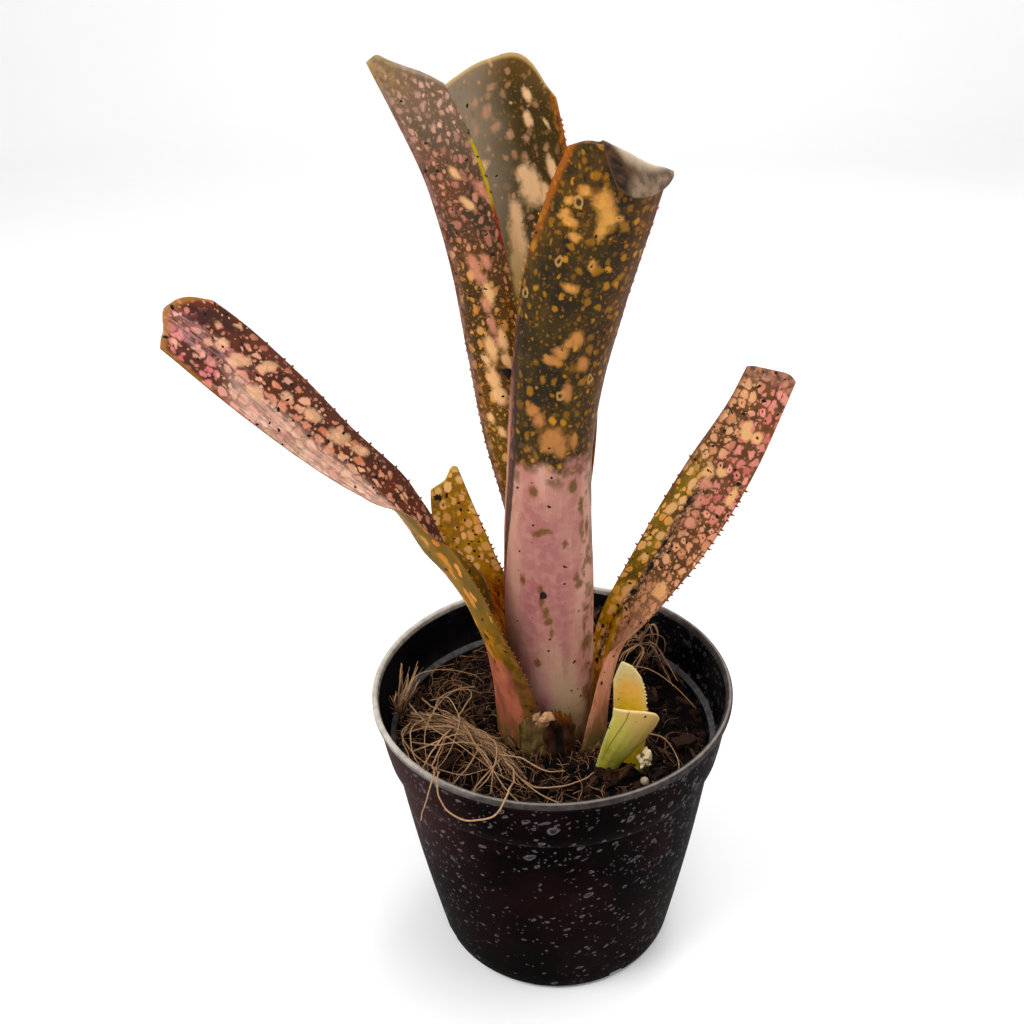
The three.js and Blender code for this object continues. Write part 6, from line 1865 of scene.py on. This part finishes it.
def build_studio():
    build_floor()
    world = bpy.data.worlds.new("studio")
    bpy.context.scene.world = world
    world.use_nodes = True
    background = world.node_tree.nodes["Background"]
    background.inputs["Color"].default_value = (1, 1, 1, 1)
    background.inputs["Strength"].default_value = 0.4
    add_light("key", (-0.8, -0.5, 1.3), (0, 0, 0.15), 0.7, 13)
    add_light("back", (0.4, 0.9, 1.1), (0, 0, 0.2), 0.6, 5.5)
    add_light("top", (0.35, -0.1, 1.5), (0, 0, 0.2), 0.8, 9)
    for x, y in ((0, 2.5), (2.5, 0), (0, -2.5), (-2.5, 0)):
        add_light("backdrop", (x, y, 1.9), (1.3 * x, 1.3 * y, 0), 2.4, 20)
    data = bpy.data.cameras.new("camera")
    data.lens = CAMERA_LENS
    data.sensor_width = CAMERA_SENSOR
    data.clip_start = 0.01
    camera = bpy.data.objects.new("camera", data)
    camera.location = [c * MM for c in CAMERA_PLACE]
    camera.rotation_euler = [math.radians(a) for a in CAMERA_TURN]
    bpy.context.scene.collection.objects.link(camera)
    bpy.context.scene.camera = camera
    bpy.context.scene.view_settings.view_transform = "Standard"


build_studio()
make_pot([pot_outside(), pot_inside()])
earth = toned_material("potting_mix", srgb(3, 2, 2), srgb(22, 13, 10), 0.95, 0.9, 1.0, srgb(12, 7, 5))
crumb = toned_material("mix_crumbs", srgb(4, 2, 2), srgb(46, 29, 21), 0.95, 1.4, 1.0, srgb(14, 9, 6))
wood = toned_material("bark", srgb(18, 11, 8), srgb(76, 49, 35), 0.9, 1.6, 0.4, srgb(44, 28, 20))
fibre = toned_material("coir", srgb(76, 48, 31), srgb(204, 162, 120), 0.8, 0.9)
litter = toned_material("coir_litter", srgb(28, 17, 11), srgb(158, 114, 80), 0.85, 0.5)
roots = toned_material("mound", srgb(26, 15, 10), srgb(104, 72, 54), 0.95, 1.1)
make_soil(earth)
make_crumbs(crumb)
make_chips(wood)
make_mound_roots(roots)
make_wad(fibre)
make_tuft(fibre)
make_back_fibres(fibre)
make_litter(litter)
make_base_fibres(litter)
make_crown(toned_material("crown_stem", srgb(96, 74, 52), srgb(168, 142, 104), 0.7, 0.6))
grit = toned_material("pellet", srgb(120, 104, 84), srgb(196, 178, 150), 0.8, 1.2)
make_pellet_and_stub(grit, toned_material("stub", srgb(70, 46, 28), srgb(242, 220, 172), 0.6, 0.8))
PALE_SPINES = (srgb(214, 190, 120), srgb(236, 222, 170))
GOLD_SPINES = (srgb(150, 74, 30), srgb(226, 166, 88))
make_leaf("leaf_front", leaf_material("leaf_front", paint_front, spine_colours=GOLD_SPINES))
make_leaf("leaf_back", leaf_material("leaf_back", paint_back, spine_colours=GOLD_SPINES))
make_leaf("leaf_inner", leaf_material("leaf_inner", paint_inner))
make_leaf("leaf_left", leaf_material("leaf_left", paint_left))
make_leaf("leaf_right", leaf_material("leaf_right", paint_right))
make_leaf("leaf_short", leaf_material("leaf_short", paint_short))
make_leaf("pup_blade", leaf_material("pup_blade", paint_pup_blade, 0.45, PALE_SPINES, 0.06), row_step=0.6)
make_leaf("pup_outer_leaf", leaf_material("pup_outer", paint_pup_front, 0.45, PALE_SPINES, 0.06), row_step=0.6)
husk = papery(srgb(92, 64, 42), srgb(36, 22, 15), srgb(56, 36, 24))
make_leaf("pup_husk", leaf_material("husk", husk, 0.7), row_step=0.5, wobble=0.3, crumple=1.2, torn=0.3)
sheath = papery(srgb(126, 98, 72), srgb(74, 57, 34), srgb(96, 84, 44))
make_leaf("old_sheath", leaf_material("sheath", sheath, 0.6), row_step=0.5, wobble=0.3, crumple=1.0, torn=0.12)
bract = papery(srgb(74, 45, 28), srgb(26, 14, 9), srgb(48, 28, 18), 0.95, srgb(112, 66, 34))
make_leaf("dry_bract", leaf_material("bract", bract, 0.6), row_step=0.4, wobble=0.3, crumple=1.6, torn=0.3)
make_crumb(toned_material("crumb", srgb(104, 70, 44), srgb(190, 144, 104), 0.9, 1.1))
